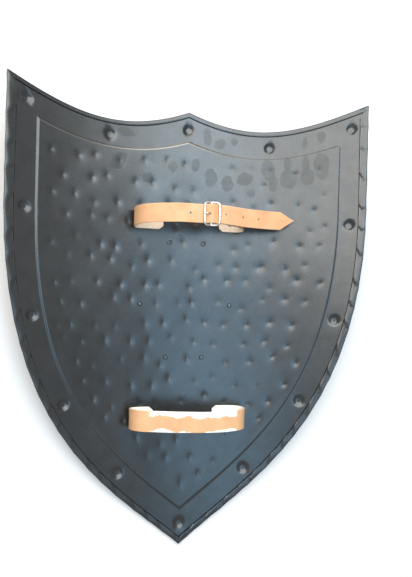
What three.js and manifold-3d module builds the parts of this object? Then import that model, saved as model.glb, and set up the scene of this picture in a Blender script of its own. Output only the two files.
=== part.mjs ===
// Heater shield of one curved steel sheet with two riveted leather straps.
// It lies on its domed front, so the inner side and the straps look up.
// Millimetres. X runs across the shield, Y from its point (-Y) to its top edge (+Y), Z up.
// The origin is the bottom centre of the whole object's box.

import * as THREE from 'three';
import { mergeVertices } from 'three/addons/utils/BufferGeometryUtils.js';
import Module from 'manifold-3d';

const wasm = await Module();
wasm.setup();

// ---- driving dimensions -------------------------------------------------------------

const LENGTH = 690; // from the tip to the two top corners
const HALF_LENGTH = LENGTH / 2;
const HALF_GIRTH = 281.5; // half of the sheet's width, measured along its curve
const CURVE_RADIUS = 600; // the sheet is rolled round an axis parallel to Y
const SHEET = 1.2; // thickness of the steel
const PEAK_Y = 324; // point in the middle of the top edge
const SHOULDER_Y = 178; // here the straight upper side starts to curve towards the tip

const HEM_TOP = 7; // width of the folded hem along the top edge
const HEM_SIDE = 12.5; // and at the top of the sides
const HEM_TIP = 8.5; // and at the tip
const HEM_SLIT = 0.7; // gap between the sheet and its folded edge

const STEP_INSET = 43.5; // line where the field is pressed up from the border
const STEP_HALF_WIDTH = 1.5;
const STEP_HEIGHT = 1.3; // the field stands this much above the border
const LEFT_WIDER = 5; // the border's extra width at the upper left side
const LEFT_HIGHER = 3.5; // and how much narrower it is along the top there
const LEFT_FADE = 120; // distance from the centre line over which this sets in

const BOSS_INSET = 26; // row of round bosses, from the edge to their centres
const BOSS_HEIGHT = 3.2;
const BOSS_DISH_RADIUS = 8.8;
const BOSS_FLAT_RADIUS = 5.4; // flat top, which the shield lies on
const SIDE_BOSS_PLACES = [0.212, 0.425, 0.622, 0.817]; // shares of the way from corner to tip

const CLEARANCE = 0.4; // between pieces that touch

const LEATHER = 2.4; // thickness of the long strap and the grip
const THIN_LEATHER = 1.8; // thickness of the short strap that holds the buckle
const ARM_WIDTH = 27.8;
const ARM_Y = 155; // middle of the arm strap's feet
const ARM_LEAN = 7; // how far its arch leans towards the top edge
const GRIP_WIDTH = 31;
const GRIP_Y = -145;
const FOOT_CHAMFER = 6; // cut corners at the inner end of each foot

const BELT_HOLE_PITCH = 28.3;
const BELT_HOLE_RADIUS = 1.6;
const HOLE_CUT = 8; // length of the cutters for holes through leather

const BAR_RADIUS = 1.75; // wire of the buckle
const BUCKLE_X = 22; // its middle bar
const BUCKLE_Z = 69;
const BUCKLE_HALF_WIDTH = 11.2; // from the middle bar to the middle of an outer bar
const BUCKLE_HALF_HEIGHT = 16.5; // from its middle to the middle of a side rail
const BUCKLE_CRANK = 4.9; // the outer bars stand this much above the middle bar

const RIVET_RADIUS = 2;
const LEATHER_BORE_RADIUS = 2.8; // holes in the leather for the rivets
const RIVET_HEAD_RADIUS = 5;
const RIVET_HEAD_HEIGHT = 1.8;

// The lowest points are the flat tops of the bosses, so the middle surface of the field
// passes through the centre line at this height.
const MIDDLE_Z = SHEET / 2 + STEP_HEIGHT + BOSS_HEIGHT;

// ---- the rolled sheet as a surface --------------------------------------------------

// A place on the sheet: s along its curve, y along the shield, n above the field's middle.
function onSheet(s, y, n) {
  const angle = s / CURVE_RADIUS;
  const radius = CURVE_RADIUS - n;
  return new THREE.Vector3(
    radius * Math.sin(angle),
    y,
    MIDDLE_Z + CURVE_RADIUS - radius * Math.cos(angle),
  );
}

// Height above the floor, at a distance x from the centre line, of something that lies
// this much above the field's middle surface.
function layerZ(x, n) {
  const radius = CURVE_RADIUS - n;
  return MIDDLE_Z + CURVE_RADIUS - Math.sqrt(radius * radius - x * x);
}

const topEdge = new THREE.CubicBezierCurve(
  new THREE.Vector2(0, PEAK_Y),
  new THREE.Vector2(109.5, 281),
  new THREE.Vector2(174, 302.5),
  new THREE.Vector2(HALF_GIRTH, HALF_LENGTH),
);

const sideEdge = new THREE.CurvePath();
sideEdge.add(new THREE.LineCurve(
  new THREE.Vector2(HALF_GIRTH, HALF_LENGTH),
  new THREE.Vector2(HALF_GIRTH, SHOULDER_Y),
));
sideEdge.add(new THREE.CubicBezierCurve(
  new THREE.Vector2(HALF_GIRTH, SHOULDER_Y),
  new THREE.Vector2(HALF_GIRTH, -160),
  new THREE.Vector2(97, -262),
  new THREE.Vector2(0, -HALF_LENGTH),
));

const FINE = 240; // points used to offset an edge
const TOP_STEPS = 10;
const SIDE_STEPS = 20;

// Moves a line of points sideways by a distance, to the right of its direction.
function offsetLine(points, distance) {
  return points.map((point, i) => {
    const before = points[Math.max(i - 1, 0)];
    const after = points[Math.min(i + 1, points.length - 1)];
    const along = after.clone().sub(before).normalize();
    return new THREE.Vector2(point.x + along.y * distance, point.y - along.x * distance);
  });
}

// Keeps the stretch of a line where inside(point) is above zero, ending exactly at zero.
function trimLine(points, inside) {
  const kept = [];
  for (let i = 0; i < points.length; i += 1) {
    const here = inside(points[i]);
    if (i > 0) {
      const before = inside(points[i - 1]);
      if (before * here < 0) {
        kept.push(points[i - 1].clone().lerp(points[i], before / (before - here)));
      }
    }
    if (here >= 0) {
      kept.push(points[i]);
    }
  }
  return kept;
}

// Places a number of equal steps along a line of points.
function respace(points, steps) {
  const lengths = [0];
  for (let i = 1; i < points.length; i += 1) {
    lengths.push(lengths[i - 1] + points[i].distanceTo(points[i - 1]));
  }
  const total = lengths[lengths.length - 1];
  const spaced = [];
  let j = 1;
  for (let k = 0; k <= steps; k += 1) {
    const target = (total * k) / steps;
    while (j < points.length - 1 && lengths[j] < target) {
      j += 1;
    }
    const share = (target - lengths[j - 1]) / (lengths[j] - lengths[j - 1]);
    spaced.push(points[j - 1].clone().lerp(points[j], share));
  }
  return spaced;
}

// The right half of the outline, moved inwards by a distance: top edge, then side.
function insetHalf(distance) {
  const wall = HALF_GIRTH - distance;
  const topLine = offsetLine(topEdge.getSpacedPoints(FINE), distance);
  const top = trimLine(trimLine(topLine, (p) => p.x), (p) => wall - p.x);
  const corner = top[top.length - 1];
  const sideLine = offsetLine(sideEdge.getSpacedPoints(FINE), distance);
  const lower = trimLine(sideLine, (p) => p.x).filter((p) => p.y < corner.y - 1);
  return { top, side: [new THREE.Vector2(wall, corner.y), ...lower] };
}

// The left side's place for one of the right side: its mirror image, but the border is
// wider along the upper left side, and narrower along the top there.
function onLeft(point, distance) {
  const share = Math.min(1, distance / BOSS_INSET) * Math.min(1, point.x / LEFT_FADE)
    * Math.max(0, Math.min(1, (point.y + 50) / 200));
  return new THREE.Vector2(-point.x + LEFT_WIDER * share, point.y + LEFT_HIGHER * share);
}

// A closed ring of the inset outline: from the peak down the right side, and back up the left.
function insetRing(distance) {
  const half = insetHalf(distance);
  const right = [
    ...respace(half.top, TOP_STEPS).slice(0, -1),
    ...respace(half.side, SIDE_STEPS),
  ];
  right[0].x = 0;
  right[right.length - 1].x = 0;
  return [...right, ...right.slice(1, -1).reverse().map((p) => onLeft(p, distance))];
}

// ---- meshes and solids --------------------------------------------------------------

// Joins equal points, drops empty triangles and turns the faces outwards.
function closed(geometry) {
  const bare = geometry.clone();
  bare.deleteAttribute('normal');
  bare.deleteAttribute('uv');
  const merged = mergeVertices(bare, 1e-4);
  const position = merged.getAttribute('position');
  const index = merged.getIndex().array;
  const corners = [0, 1, 2].map(() => new THREE.Vector3());
  const kept = [];
  let volume = 0;
  for (let i = 0; i < index.length; i += 3) {
    const [a, b, c] = index.slice(i, i + 3);
    if (a !== b && b !== c && c !== a) {
      kept.push(a, b, c);
      corners.forEach((corner, k) => corner.fromBufferAttribute(position, index[i + k]));
      volume += corners[0].dot(corners[1].cross(corners[2]));
    }
  }
  merged.setIndex(volume < 0 ? kept.reverse() : kept);
  return merged;
}

function toSolid(geometry) {
  const mesh = closed(geometry);
  return new wasm.Manifold(new wasm.Mesh({
    numProp: 3,
    vertProperties: new Float32Array(mesh.getAttribute('position').array),
    triVerts: new Uint32Array(mesh.getIndex().array),
  }));
}

function toGeometry(solid) {
  const { vertProperties, triVerts } = solid.getMesh();
  const geometry = new THREE.BufferGeometry();
  geometry.setAttribute('position', new THREE.BufferAttribute(vertProperties, 3));
  geometry.setIndex(new THREE.BufferAttribute(triVerts, 1));
  return geometry;
}

function fromTriangles(points, triangles) {
  const geometry = new THREE.BufferGeometry().setFromPoints(points);
  geometry.setIndex(triangles);
  return closed(geometry);
}

// Turns a lathe form, made about +Y, to stand on the sheet at s, y with +Y along its normal.
function standOnSheet(geometry, s, y) {
  const tilt = s / CURVE_RADIUS;
  const place = new THREE.Matrix4().makeRotationX(Math.PI / 2);
  place.premultiply(new THREE.Matrix4().makeRotationY(-tilt));
  place.setPosition(onSheet(s, y, 0));
  return geometry.applyMatrix4(place);
}

function lathe(profile, segments) {
  const points = profile.map(([radius, height]) => new THREE.Vector2(radius, height));
  return new THREE.LatheGeometry(points, segments);
}

// Carries a section along a line of points. Each section point [a, b] lies a along the
// side direction and b along the fixed across direction.
function sweep(path, across, sectionAt, isLoop = false) {
  const count = path.length;
  const points = [];
  const triangles = [];
  const sides = sectionAt(0).length;
  path.forEach((point, i) => {
    const before = isLoop ? path[(i + count - 1) % count] : path[Math.max(i - 1, 0)];
    const after = isLoop ? path[(i + 1) % count] : path[Math.min(i + 1, count - 1)];
    const along = after.clone().sub(before).normalize();
    const side = along.clone().cross(across).normalize();
    sectionAt(i).forEach(([a, b]) => {
      points.push(point.clone().addScaledVector(side, a).addScaledVector(across, b));
    });
  });
  const spans = isLoop ? count : count - 1;
  for (let i = 0; i < spans; i += 1) {
    const here = i * sides;
    const next = ((i + 1) % count) * sides;
    for (let k = 0; k < sides; k += 1) {
      const l = (k + 1) % sides;
      triangles.push(here + k, next + k, next + l, here + k, next + l, here + l);
    }
  }
  if (!isLoop) {
    const last = (count - 1) * sides;
    for (let k = 1; k < sides - 1; k += 1) {
      triangles.push(0, k, k + 1, last, last + k + 1, last + k);
    }
  }
  return fromTriangles(points, triangles);
}

function roundSection(radius, sides) {
  return Array.from({ length: sides }, (_, k) => {
    const angle = (2 * Math.PI * k) / sides;
    return [radius * Math.cos(angle), radius * Math.sin(angle)];
  });
}

// ---- shield plate -------------------------------------------------------------------

function bossPlaces() {
  const { top, side } = insetHalf(BOSS_INSET);
  const sideLine = respace(side, 1000);
  const right = [
    respace(top, 2)[1],
    side[0],
    ...SIDE_BOSS_PLACES.map((share) => sideLine[Math.round(share * 1000)]),
  ];
  const left = right.map((p) => onLeft(p, BOSS_INSET));
  const middle = [new THREE.Vector2(0, top[0].y), new THREE.Vector2(0, sideLine[1000].y)];
  return [...middle, ...right, ...left];
}

const strapRivetPlaces = {
  arm_rivet_left: { x: -63, y: ARM_Y, leather: LEATHER },
  arm_rivet_right: { x: 68.5, y: ARM_Y, leather: THIN_LEATHER },
  grip_rivet_left: { x: -64, y: GRIP_Y, leather: LEATHER },
  grip_rivet_right: { x: 64, y: GRIP_Y, leather: LEATHER },
};

const fieldRivetPlaces = [
  { x: -27, y: 122, hollow: true },
  { x: 27, y: 122, hollow: true },
  { x: -71, y: 26.5, hollow: false },
  { x: 71, y: 26.5, hollow: false },
  { x: -28.5, y: -55, hollow: false },
  { x: 28.5, y: -55, hollow: false },
];

// Width of the hem at each point of a ring.
function hemWidth(index, count) {
  const step = Math.min(index, count - index);
  if (step < TOP_STEPS) {
    return HEM_TOP;
  }
  return THREE.MathUtils.lerp(HEM_SIDE, HEM_TIP, (step - TOP_STEPS) / SIDE_STEPS);
}

// The field inside a ring, as rows from side to side. The rows start with the bend of the
// top edge and flatten towards the tip.
function fieldPatch(ring, height) {
  const count = ring.length;
  const tip = ring[TOP_STEPS + SIDE_STEPS];
  const sidePoint = (isLeft, steps) => (
    ring[isLeft ? count - TOP_STEPS - steps : TOP_STEPS + steps]
  );
  const topPoints = [];
  for (let k = -TOP_STEPS; k <= TOP_STEPS; k += 1) {
    topPoints.push(ring[(k + count) % count]);
  }
  const points = [];
  for (let j = 0; j < SIDE_STEPS; j += 1) {
    const bend = (1 - j / SIDE_STEPS) ** 2;
    topPoints.forEach((p) => {
      const corner = sidePoint(p.x < 0, 0);
      const end = sidePoint(p.x < 0, j);
      points.push(onSheet((p.x / corner.x) * end.x, end.y + (p.y - corner.y) * bend, height));
    });
  }
  const width = topPoints.length;
  const triangles = [];
  for (let j = 0; j < SIDE_STEPS - 1; j += 1) {
    for (let k = 0; k < width - 1; k += 1) {
      const a = j * width + k;
      triangles.push(a, a + width, a + width + 1, a, a + width + 1, a + 1);
    }
  }
  const tipIndex = points.push(onSheet(tip.x, tip.y, height)) - 1;
  for (let k = 0; k < width - 1; k += 1) {
    const a = (SIDE_STEPS - 1) * width + k;
    triangles.push(a, tipIndex, a + 1);
  }
  return { points, triangles };
}

function sheetSolid() {
  const half = SHEET / 2;
  const border = -STEP_HEIGHT;
  const outerInset = STEP_INSET - STEP_HALF_WIDTH;
  const edge = insetRing(0);
  const outer = insetRing(outerInset);
  const inner = insetRing(STEP_INSET + STEP_HALF_WIDTH);
  const fromEdge = (distance) => (
    edge.map((p, i) => p.clone().lerp(outer[i], distance / outerInset))
  );
  const hemLine = edge.map((p, i) => (
    p.clone().lerp(outer[i], hemWidth(i, edge.length) / outerInset)
  ));

  const borderBack = border + half;
  const borderFront = border - half;
  const flapUnder = borderBack + HEM_SLIT;
  const flapTop = flapUnder + SHEET;
  const foldMiddle = (flapUnder + borderBack) / 2;
  const rows = [
    [inner, half],
    [outer, borderBack],
    [fromEdge(1.8), borderBack],
    [fromEdge(1.3), foldMiddle],
    [fromEdge(1.8), flapUnder],
    [hemLine, flapUnder],
    [hemLine, flapTop],
    [fromEdge(1.4), flapTop + 0.2],
    [fromEdge(0), flapTop - 1],
    [fromEdge(0), borderFront + 0.4],
    [fromEdge(1.4), borderFront],
    [outer, borderFront],
    [inner, -half],
  ];

  const count = edge.length;
  const points = rows.flatMap(([ring, height]) => ring.map((p) => onSheet(p.x, p.y, height)));
  const triangles = [];
  for (let row = 0; row < rows.length - 1; row += 1) {
    for (let i = 0; i < count; i += 1) {
      const a = row * count + i;
      const b = row * count + ((i + 1) % count);
      triangles.push(a, b, b + count, a, b + count, a + count);
    }
  }
  const back = fieldPatch(inner, half);
  const front = fieldPatch(inner, -half);
  triangles.push(...back.triangles.map((k) => k + points.length));
  points.push(...back.points);
  triangles.push(...front.triangles.reverse().map((k) => k + points.length));
  points.push(...front.points);
  return toSolid(fromTriangles(points, triangles));
}

function shieldPlate() {
  const borderFront = -STEP_HEIGHT - SHEET / 2;
  const borderBack = borderFront + SHEET;
  const crown = borderFront - BOSS_HEIGHT;
  const dishFloor = crown + SHEET;
  const wall = BOSS_DISH_RADIUS;
  let plate = sheetSolid();
  bossPlaces().forEach(({ x, y }) => {
    const cap = lathe([[0, crown], [BOSS_FLAT_RADIUS, crown], [wall - 0.6, crown + 1.3],
      [wall + 1, borderFront], [wall + 1, -STEP_HEIGHT], [0, -STEP_HEIGHT]], 12);
    const dish = lathe([[0, dishFloor], [BOSS_FLAT_RADIUS - 0.9, dishFloor],
      [wall - 1.5, dishFloor + 1.1], [wall, borderBack], [wall, borderBack + 2],
      [0, borderBack + 2]], 12);
    plate = plate.add(toSolid(standOnSheet(cap, x, y)));
    plate = plate.subtract(toSolid(standOnSheet(dish, x, y)));
  });
  [...Object.values(strapRivetPlaces), ...fieldRivetPlaces].forEach(({ x, y }) => {
    const bore = lathe([[0, -4], [RIVET_RADIUS + CLEARANCE, -4],
      [RIVET_RADIUS + CLEARANCE, 4], [0, 4]], 8);
    plate = plate.subtract(toSolid(standOnSheet(bore, x, y)));
  });
  return toGeometry(plate);
}

// ---- straps -------------------------------------------------------------------------

// Centre line of a strap through points [x, height, y], as equal steps of a smooth curve.
function strapLine(waypoints, step) {
  const curve = new THREE.CatmullRomCurve3(
    waypoints.map(([x, z, y]) => new THREE.Vector3(x, y, z)),
    false,
    'centripetal',
  );
  const steps = Math.round(curve.getLength() / step);
  return { curve, path: curve.getSpacedPoints(steps), length: curve.getLength() };
}

// A flat strap along a line. halfWidthAt gives its half width at a distance from its start.
function strapGeometry(line, thickness, halfWidthAt) {
  const spacing = line.length / (line.path.length - 1);
  const half = thickness / 2;
  return sweep(line.path, new THREE.Vector3(0, 1, 0), (i) => {
    const width = halfWidthAt(i * spacing);
    return [[half, -width], [half, width], [-half, width], [-half, -width]];
  });
}

// A foot's end with its two corners cut off.
function chamferedHalfWidth(width, distance) {
  return width / 2 - Math.max(0, FOOT_CHAMFER - distance) * 0.8;
}

// A straight cutter through a strap, at a distance along its line. It is round, or drawn
// out along the strap by the factor given.
function strapHole(line, distance, radius, stretch = 1) {
  const share = distance / line.length;
  const centre = line.curve.getPointAt(share);
  const along = line.curve.getTangentAt(share);
  const normal = new THREE.Vector3(-along.z, 0, along.x).normalize();
  const turn = new THREE.Matrix4().makeBasis(
    new THREE.Vector3().crossVectors(normal, new THREE.Vector3(0, 1, 0)),
    normal,
    new THREE.Vector3(0, 1, 0),
  );
  const cutter = new THREE.CylinderGeometry(radius, radius, HOLE_CUT, 8);
  cutter.scale(stretch, 1, 1).applyMatrix4(turn);
  return toSolid(cutter.translate(centre.x, centre.y, centre.z));
}

// Distance along a strap's line at which it is nearest to a place x, within a stretch.
function distanceAtX(line, x, from, to) {
  let best = from;
  for (let distance = from; distance <= to; distance += 0.25) {
    const here = line.curve.getPointAt(distance / line.length).x;
    const held = line.curve.getPointAt(best / line.length).x;
    if (Math.abs(here - x) < Math.abs(held - x)) {
      best = distance;
    }
  }
  return best;
}

const footZ = (x, thickness) => layerZ(x, SHEET / 2 + CLEARANCE + thickness / 2);

const LEAN_Y = ARM_Y + ARM_LEAN;
const overBarZ = BUCKLE_Z + 6.1; // the long strap's middle where it crosses the middle bar
const underRimZ = BUCKLE_Z + BUCKLE_CRANK - BAR_RADIUS - CLEARANCE - LEATHER / 2;

// The foot lies on the plate, turns up and back over itself, rises to the buckle,
// passes under, over and under its three bars and slopes down to the pointed end.
const longStrapLine = strapLine([
  [-37.5, footZ(37.5, LEATHER), ARM_Y],
  [-50, footZ(50, LEATHER), ARM_Y],
  [-63, footZ(63, LEATHER), ARM_Y],
  [-75, footZ(75, LEATHER) + 0.1, ARM_Y],
  [-81.5, 17.5, ARM_Y + 0.3],
  [-84.3, 28, ARM_Y + 2],
  [-80.3, 42, ARM_Y + 3.8],
  [-71, 54, ARM_Y + 5.2],
  [-54, 64, ARM_Y + 6.2],
  [-25, 70.5, LEAN_Y],
  [BUCKLE_X - BUCKLE_HALF_WIDTH - 3, underRimZ - 0.5, LEAN_Y],
  [BUCKLE_X - BUCKLE_HALF_WIDTH, underRimZ - 0.4, LEAN_Y],
  [BUCKLE_X, overBarZ, LEAN_Y],
  [BUCKLE_X + BUCKLE_HALF_WIDTH, underRimZ - 0.4, LEAN_Y],
  [BUCKLE_X + BUCKLE_HALF_WIDTH + 3, underRimZ - 0.5, LEAN_Y],
  [60, 67.5, LEAN_Y - 1.6],
  [90, 60, LEAN_Y - 3],
  [125, 49, LEAN_Y - 3.4],
  [150, 43.5, LEAN_Y - 2.2],
  [162.5, 41.5, LEAN_Y - 0.8],
], 4.5);

const POINT_LENGTH = 25; // tapered end of the long strap

function longStrap() {
  const line = longStrapLine;
  const width = (distance) => {
    const left = line.length - distance;
    const taper = Math.max(0.6, (ARM_WIDTH / 2) * Math.min(1, left / POINT_LENGTH));
    return Math.min(taper, chamferedHalfWidth(ARM_WIDTH, distance));
  };
  let strap = toSolid(strapGeometry(line, LEATHER, width));
  const rivetAt = distanceAtX(line, strapRivetPlaces.arm_rivet_left.x, 10, 45);
  strap = strap.subtract(strapHole(line, rivetAt, LEATHER_BORE_RADIUS));
  const pinAt = distanceAtX(line, BUCKLE_X - 5, 150, line.length);
  for (let k = -1; k <= 3; k += 1) {
    // The tongue passes through one hole and has drawn it long.
    const stretch = k === 0 ? 2.4 : 1;
    const radius = k === 0 ? BELT_HOLE_RADIUS + 0.4 : BELT_HOLE_RADIUS;
    strap = strap.subtract(strapHole(line, pinAt + k * BELT_HOLE_PITCH, radius, stretch));
  }
  return toGeometry(strap);
}

// The short strap rises from its foot, passes over and round the middle bar, and its end
// lies back along its underside, held by one small rivet.
const WRAP_RADIUS = BAR_RADIUS + CLEARANCE + THIN_LEATHER / 2;
const FOLD_RIVET_X = BUCKLE_X + 21;

function shortStrapWaypoints() {
  const wrap = [75, 105, 142, 180, 218, 255, 280].map((degrees) => {
    const angle = THREE.MathUtils.degToRad(degrees);
    return [
      BUCKLE_X + WRAP_RADIUS * Math.cos(angle),
      BUCKLE_Z + WRAP_RADIUS * Math.sin(angle),
      LEAN_Y,
    ];
  });
  return [
    [51, footZ(51, THIN_LEATHER), ARM_Y],
    [60, footZ(60, THIN_LEATHER), ARM_Y],
    [68.5, footZ(68.5, THIN_LEATHER), ARM_Y],
    [74, footZ(74, THIN_LEATHER) + 0.1, ARM_Y],
    [80.5, 16.5, ARM_Y],
    [84, 26, ARM_Y + 0.5],
    [80.8, 38, ARM_Y + 2],
    [70, 50, ARM_Y + 4.5],
    [56.5, BUCKLE_Z - 10, ARM_Y + 6],
    [BUCKLE_X + 21, BUCKLE_Z - 4.4, LEAN_Y],
    [BUCKLE_X + 12, BUCKLE_Z - 2, LEAN_Y],
    [BUCKLE_X + 7.5, BUCKLE_Z - 0.6, LEAN_Y],
    ...wrap,
    [BUCKLE_X + 12, BUCKLE_Z - 4.8, LEAN_Y],
    [BUCKLE_X + 21, BUCKLE_Z - 7.2, LEAN_Y],
    [BUCKLE_X + 28, BUCKLE_Z - 9.3, LEAN_Y],
  ];
}

const shortStrapLine = strapLine(shortStrapWaypoints(), 2.8);

function shortStrap() {
  const line = shortStrapLine;
  const width = (distance) => chamferedHalfWidth(ARM_WIDTH, distance);
  let strap = toSolid(strapGeometry(line, THIN_LEATHER, width));
  const rivetAt = distanceAtX(line, strapRivetPlaces.arm_rivet_right.x, 5, 35);
  strap = strap.subtract(strapHole(line, rivetAt, LEATHER_BORE_RADIUS));
  // Slot that lets the tongue reach the middle bar.
  const slot = new THREE.BoxGeometry(13, 5.4, 12);
  slot.translate(BUCKLE_X - 2, LEAN_Y, BUCKLE_Z);
  strap = strap.subtract(toSolid(slot));
  const bore = new THREE.CylinderGeometry(1.8, 1.8, 30, 8).rotateX(Math.PI / 2);
  bore.translate(FOLD_RIVET_X, LEAN_Y, BUCKLE_Z);
  strap = strap.subtract(toSolid(bore));
  return toGeometry(strap);
}

// One wide band whose two ends turn under it and lie on the plate.
const gripLine = strapLine([
  [-47, footZ(47, LEATHER), GRIP_Y],
  [-56, footZ(56, LEATHER), GRIP_Y],
  [-64, footZ(64, LEATHER), GRIP_Y],
  [-73, footZ(73, LEATHER) + 0.1, GRIP_Y],
  [-81, 17.5, GRIP_Y + 0.5],
  [-84.6, 29, GRIP_Y + 1.4],
  [-81, 43, GRIP_Y + 2],
  [-70, 54, GRIP_Y + 2],
  [-40, 62, GRIP_Y + 1.7],
  [0, 64, GRIP_Y + 0.4],
  [43, 62, GRIP_Y - 0.6],
  [76, 54, GRIP_Y - 0.3],
  [87.8, 43, GRIP_Y],
  [91.2, 29, GRIP_Y],
  [86, 17.5, GRIP_Y],
  [74, footZ(74, LEATHER) + 0.1, GRIP_Y],
  [64, footZ(64, LEATHER), GRIP_Y],
  [56, footZ(56, LEATHER), GRIP_Y],
  [47, footZ(47, LEATHER), GRIP_Y],
], 6.5);

function gripStrap() {
  const line = gripLine;
  const width = (distance) => Math.min(
    chamferedHalfWidth(GRIP_WIDTH, distance),
    chamferedHalfWidth(GRIP_WIDTH, line.length - distance),
  );
  let strap = toSolid(strapGeometry(line, LEATHER, width));
  const rivetAt = distanceAtX(line, strapRivetPlaces.grip_rivet_left.x, 5, 35);
  [rivetAt, line.length - rivetAt].forEach((distance) => {
    strap = strap.subtract(strapHole(line, distance, LEATHER_BORE_RADIUS));
  });
  return toGeometry(strap);
}

// ---- buckle -------------------------------------------------------------------------

function buckleFrame() {
  const cornerRadius = 4;
  const corners = [[1, 1], [-1, 1], [-1, -1], [1, -1]];
  const loop = corners.flatMap(([right, up], quarter) => (
    [0, 30, 60, 90].map((degrees) => {
      const angle = THREE.MathUtils.degToRad(degrees + 90 * quarter);
      const x = right * (BUCKLE_HALF_WIDTH - cornerRadius) + cornerRadius * Math.cos(angle);
      const y = up * (BUCKLE_HALF_HEIGHT - cornerRadius) + cornerRadius * Math.sin(angle);
      return [x, y];
    })
  ));
  // A point on each side rail lets it dip to the middle bar.
  loop.splice(4, 0, [3.5, BUCKLE_HALF_HEIGHT], [-3.5, BUCKLE_HALF_HEIGHT]);
  loop.splice(14, 0, [-3.5, -BUCKLE_HALF_HEIGHT], [3.5, -BUCKLE_HALF_HEIGHT]);
  const path = loop.map(([x, y]) => new THREE.Vector3(
    BUCKLE_X + x,
    LEAN_Y + y,
    BUCKLE_Z + BUCKLE_CRANK * Math.min(1, (x / BUCKLE_HALF_WIDTH) ** 2),
  ));
  const wire = sweep(path, new THREE.Vector3(0, 0, 1), () => roundSection(BAR_RADIUS, 8), true);
  const bar = new THREE.CylinderGeometry(BAR_RADIUS, BAR_RADIUS, 2 * BUCKLE_HALF_HEIGHT, 10);
  bar.translate(BUCKLE_X, LEAN_Y, BUCKLE_Z);
  return toGeometry(toSolid(wire).add(toSolid(bar)));
}

// The tongue is a wire whose flattened end is curled round the middle bar. It rises
// through the strap's hole and its tip rests on the left outer bar.
function buckleTongue() {
  const curlRadius = BAR_RADIUS + CLEARANCE + 0.8;
  const curl = [-130, -90, -50, -10, 30, 62, 90, 112].map((degrees) => {
    const angle = THREE.MathUtils.degToRad(degrees);
    return [curlRadius * Math.cos(angle), curlRadius * Math.sin(angle)];
  });
  const restZ = BUCKLE_CRANK + BAR_RADIUS + CLEARANCE + 1.2;
  const pin = [[-3, 4.4], [-5.2, 6.6], [-7.6, restZ - 0.1], [-11.2, restZ], [-14, restZ - 0.5]];
  const path = [...curl, ...pin].map(([x, z]) => (
    new THREE.Vector3(BUCKLE_X + x, LEAN_Y, BUCKLE_Z + z)
  ));
  return sweep(path, new THREE.Vector3(0, 1, 0), (i) => {
    const share = THREE.MathUtils.smoothstep(i, curl.length - 3, curl.length);
    const thick = THREE.MathUtils.lerp(0.8, 1.15, share);
    const wide = THREE.MathUtils.lerp(2, 1.15, share);
    return roundSection(1, 8).map(([a, b]) => [a * thick, b * wide]);
  });
}

// ---- rivets -------------------------------------------------------------------------

// A rivet through the plate and a strap's foot: low domed head on the front, shank,
// and a small washer under the peened end on the leather.
function strapRivet({ x, y, leather }) {
  const headTop = -SHEET / 2 - CLEARANCE;
  const collar = SHEET / 2 + 2 * CLEARANCE + leather + 0.3;
  const profile = [
    [0, headTop - RIVET_HEAD_HEIGHT],
    [RIVET_HEAD_RADIUS * 0.7, headTop - RIVET_HEAD_HEIGHT * 0.8],
    [RIVET_HEAD_RADIUS, headTop],
    [RIVET_RADIUS, headTop],
    [RIVET_RADIUS, collar],
    [RIVET_HEAD_RADIUS - 0.4, collar],
    [RIVET_HEAD_RADIUS - 0.4, collar + 0.7],
    [RIVET_RADIUS, collar + 1.5],
    [0, collar + 1.8],
  ];
  return closed(standOnSheet(lathe(profile, 10), x, y));
}

// A small rivet that fills a hole in the field. Two of them are tubular, open at the back.
function fieldRivet({ x, y, hollow }) {
  const headTop = -SHEET / 2 - CLEARANCE;
  const collar = SHEET / 2 + CLEARANCE;
  const rim = hollow ? 4.4 : 3.3;
  const end = hollow
    ? [[2.4, collar + 0.8], [1.7, collar + 0.6], [1.7, -0.2], [0, -0.2]]
    : [[2.2, collar + 0.9], [0, collar + 1.2]];
  const profile = [
    [0, headTop - 1.2],
    [2.4, headTop - 1],
    [3.6, headTop],
    [RIVET_RADIUS, headTop],
    [RIVET_RADIUS, collar],
    [rim, collar],
    [rim, collar + 0.4],
    ...end,
  ];
  return closed(standOnSheet(lathe(profile, 8), x, y));
}

// The little rivet that closes the short strap's fold behind the buckle.
function foldRivet() {
  const line = shortStrapLine;
  const upperAt = distanceAtX(line, FOLD_RIVET_X, line.length * 0.4, line.length * 0.8);
  const lowerAt = distanceAtX(line, FOLD_RIVET_X, line.length * 0.85, line.length);
  // The leather slopes here, so the flat heads stand a little off it.
  const standOff = THIN_LEATHER / 2 + 1;
  const upper = line.curve.getPointAt(upperAt / line.length).z + standOff;
  const lower = line.curve.getPointAt(lowerAt / line.length).z - standOff;
  const profile = [
    [0, lower - 0.8],
    [2.8, lower - 0.6],
    [2.8, lower],
    [1.4, lower],
    [1.4, upper],
    [2.8, upper],
    [2.8, upper + 0.4],
    [0, upper + 0.5],
  ];
  const rivet = closed(lathe(profile, 8)).rotateX(Math.PI / 2);
  return rivet.translate(FOLD_RIVET_X, LEAN_Y, 0);
}

// ---- the object ---------------------------------------------------------------------

const blackSteel = new THREE.MeshStandardMaterial({
  color: 0x2b3138, roughness: 0.35, metalness: 0.6,
});
const leather = new THREE.MeshStandardMaterial({ color: 0xd9a878, roughness: 0.75 });
const paleLeather = new THREE.MeshStandardMaterial({ color: 0xe2bd95, roughness: 0.8 });
const nickel = new THREE.MeshStandardMaterial({ color: 0xd8d8d4, roughness: 0.25, metalness: 1 });
const rivetSteel = new THREE.MeshStandardMaterial({
  color: 0x4a4f55, roughness: 0.4, metalness: 0.8,
});

const shield = new THREE.Group();

function addPiece(name, geometry, material) {
  const mesh = new THREE.Mesh(geometry, material);
  mesh.name = name;
  shield.add(mesh);
}

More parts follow.
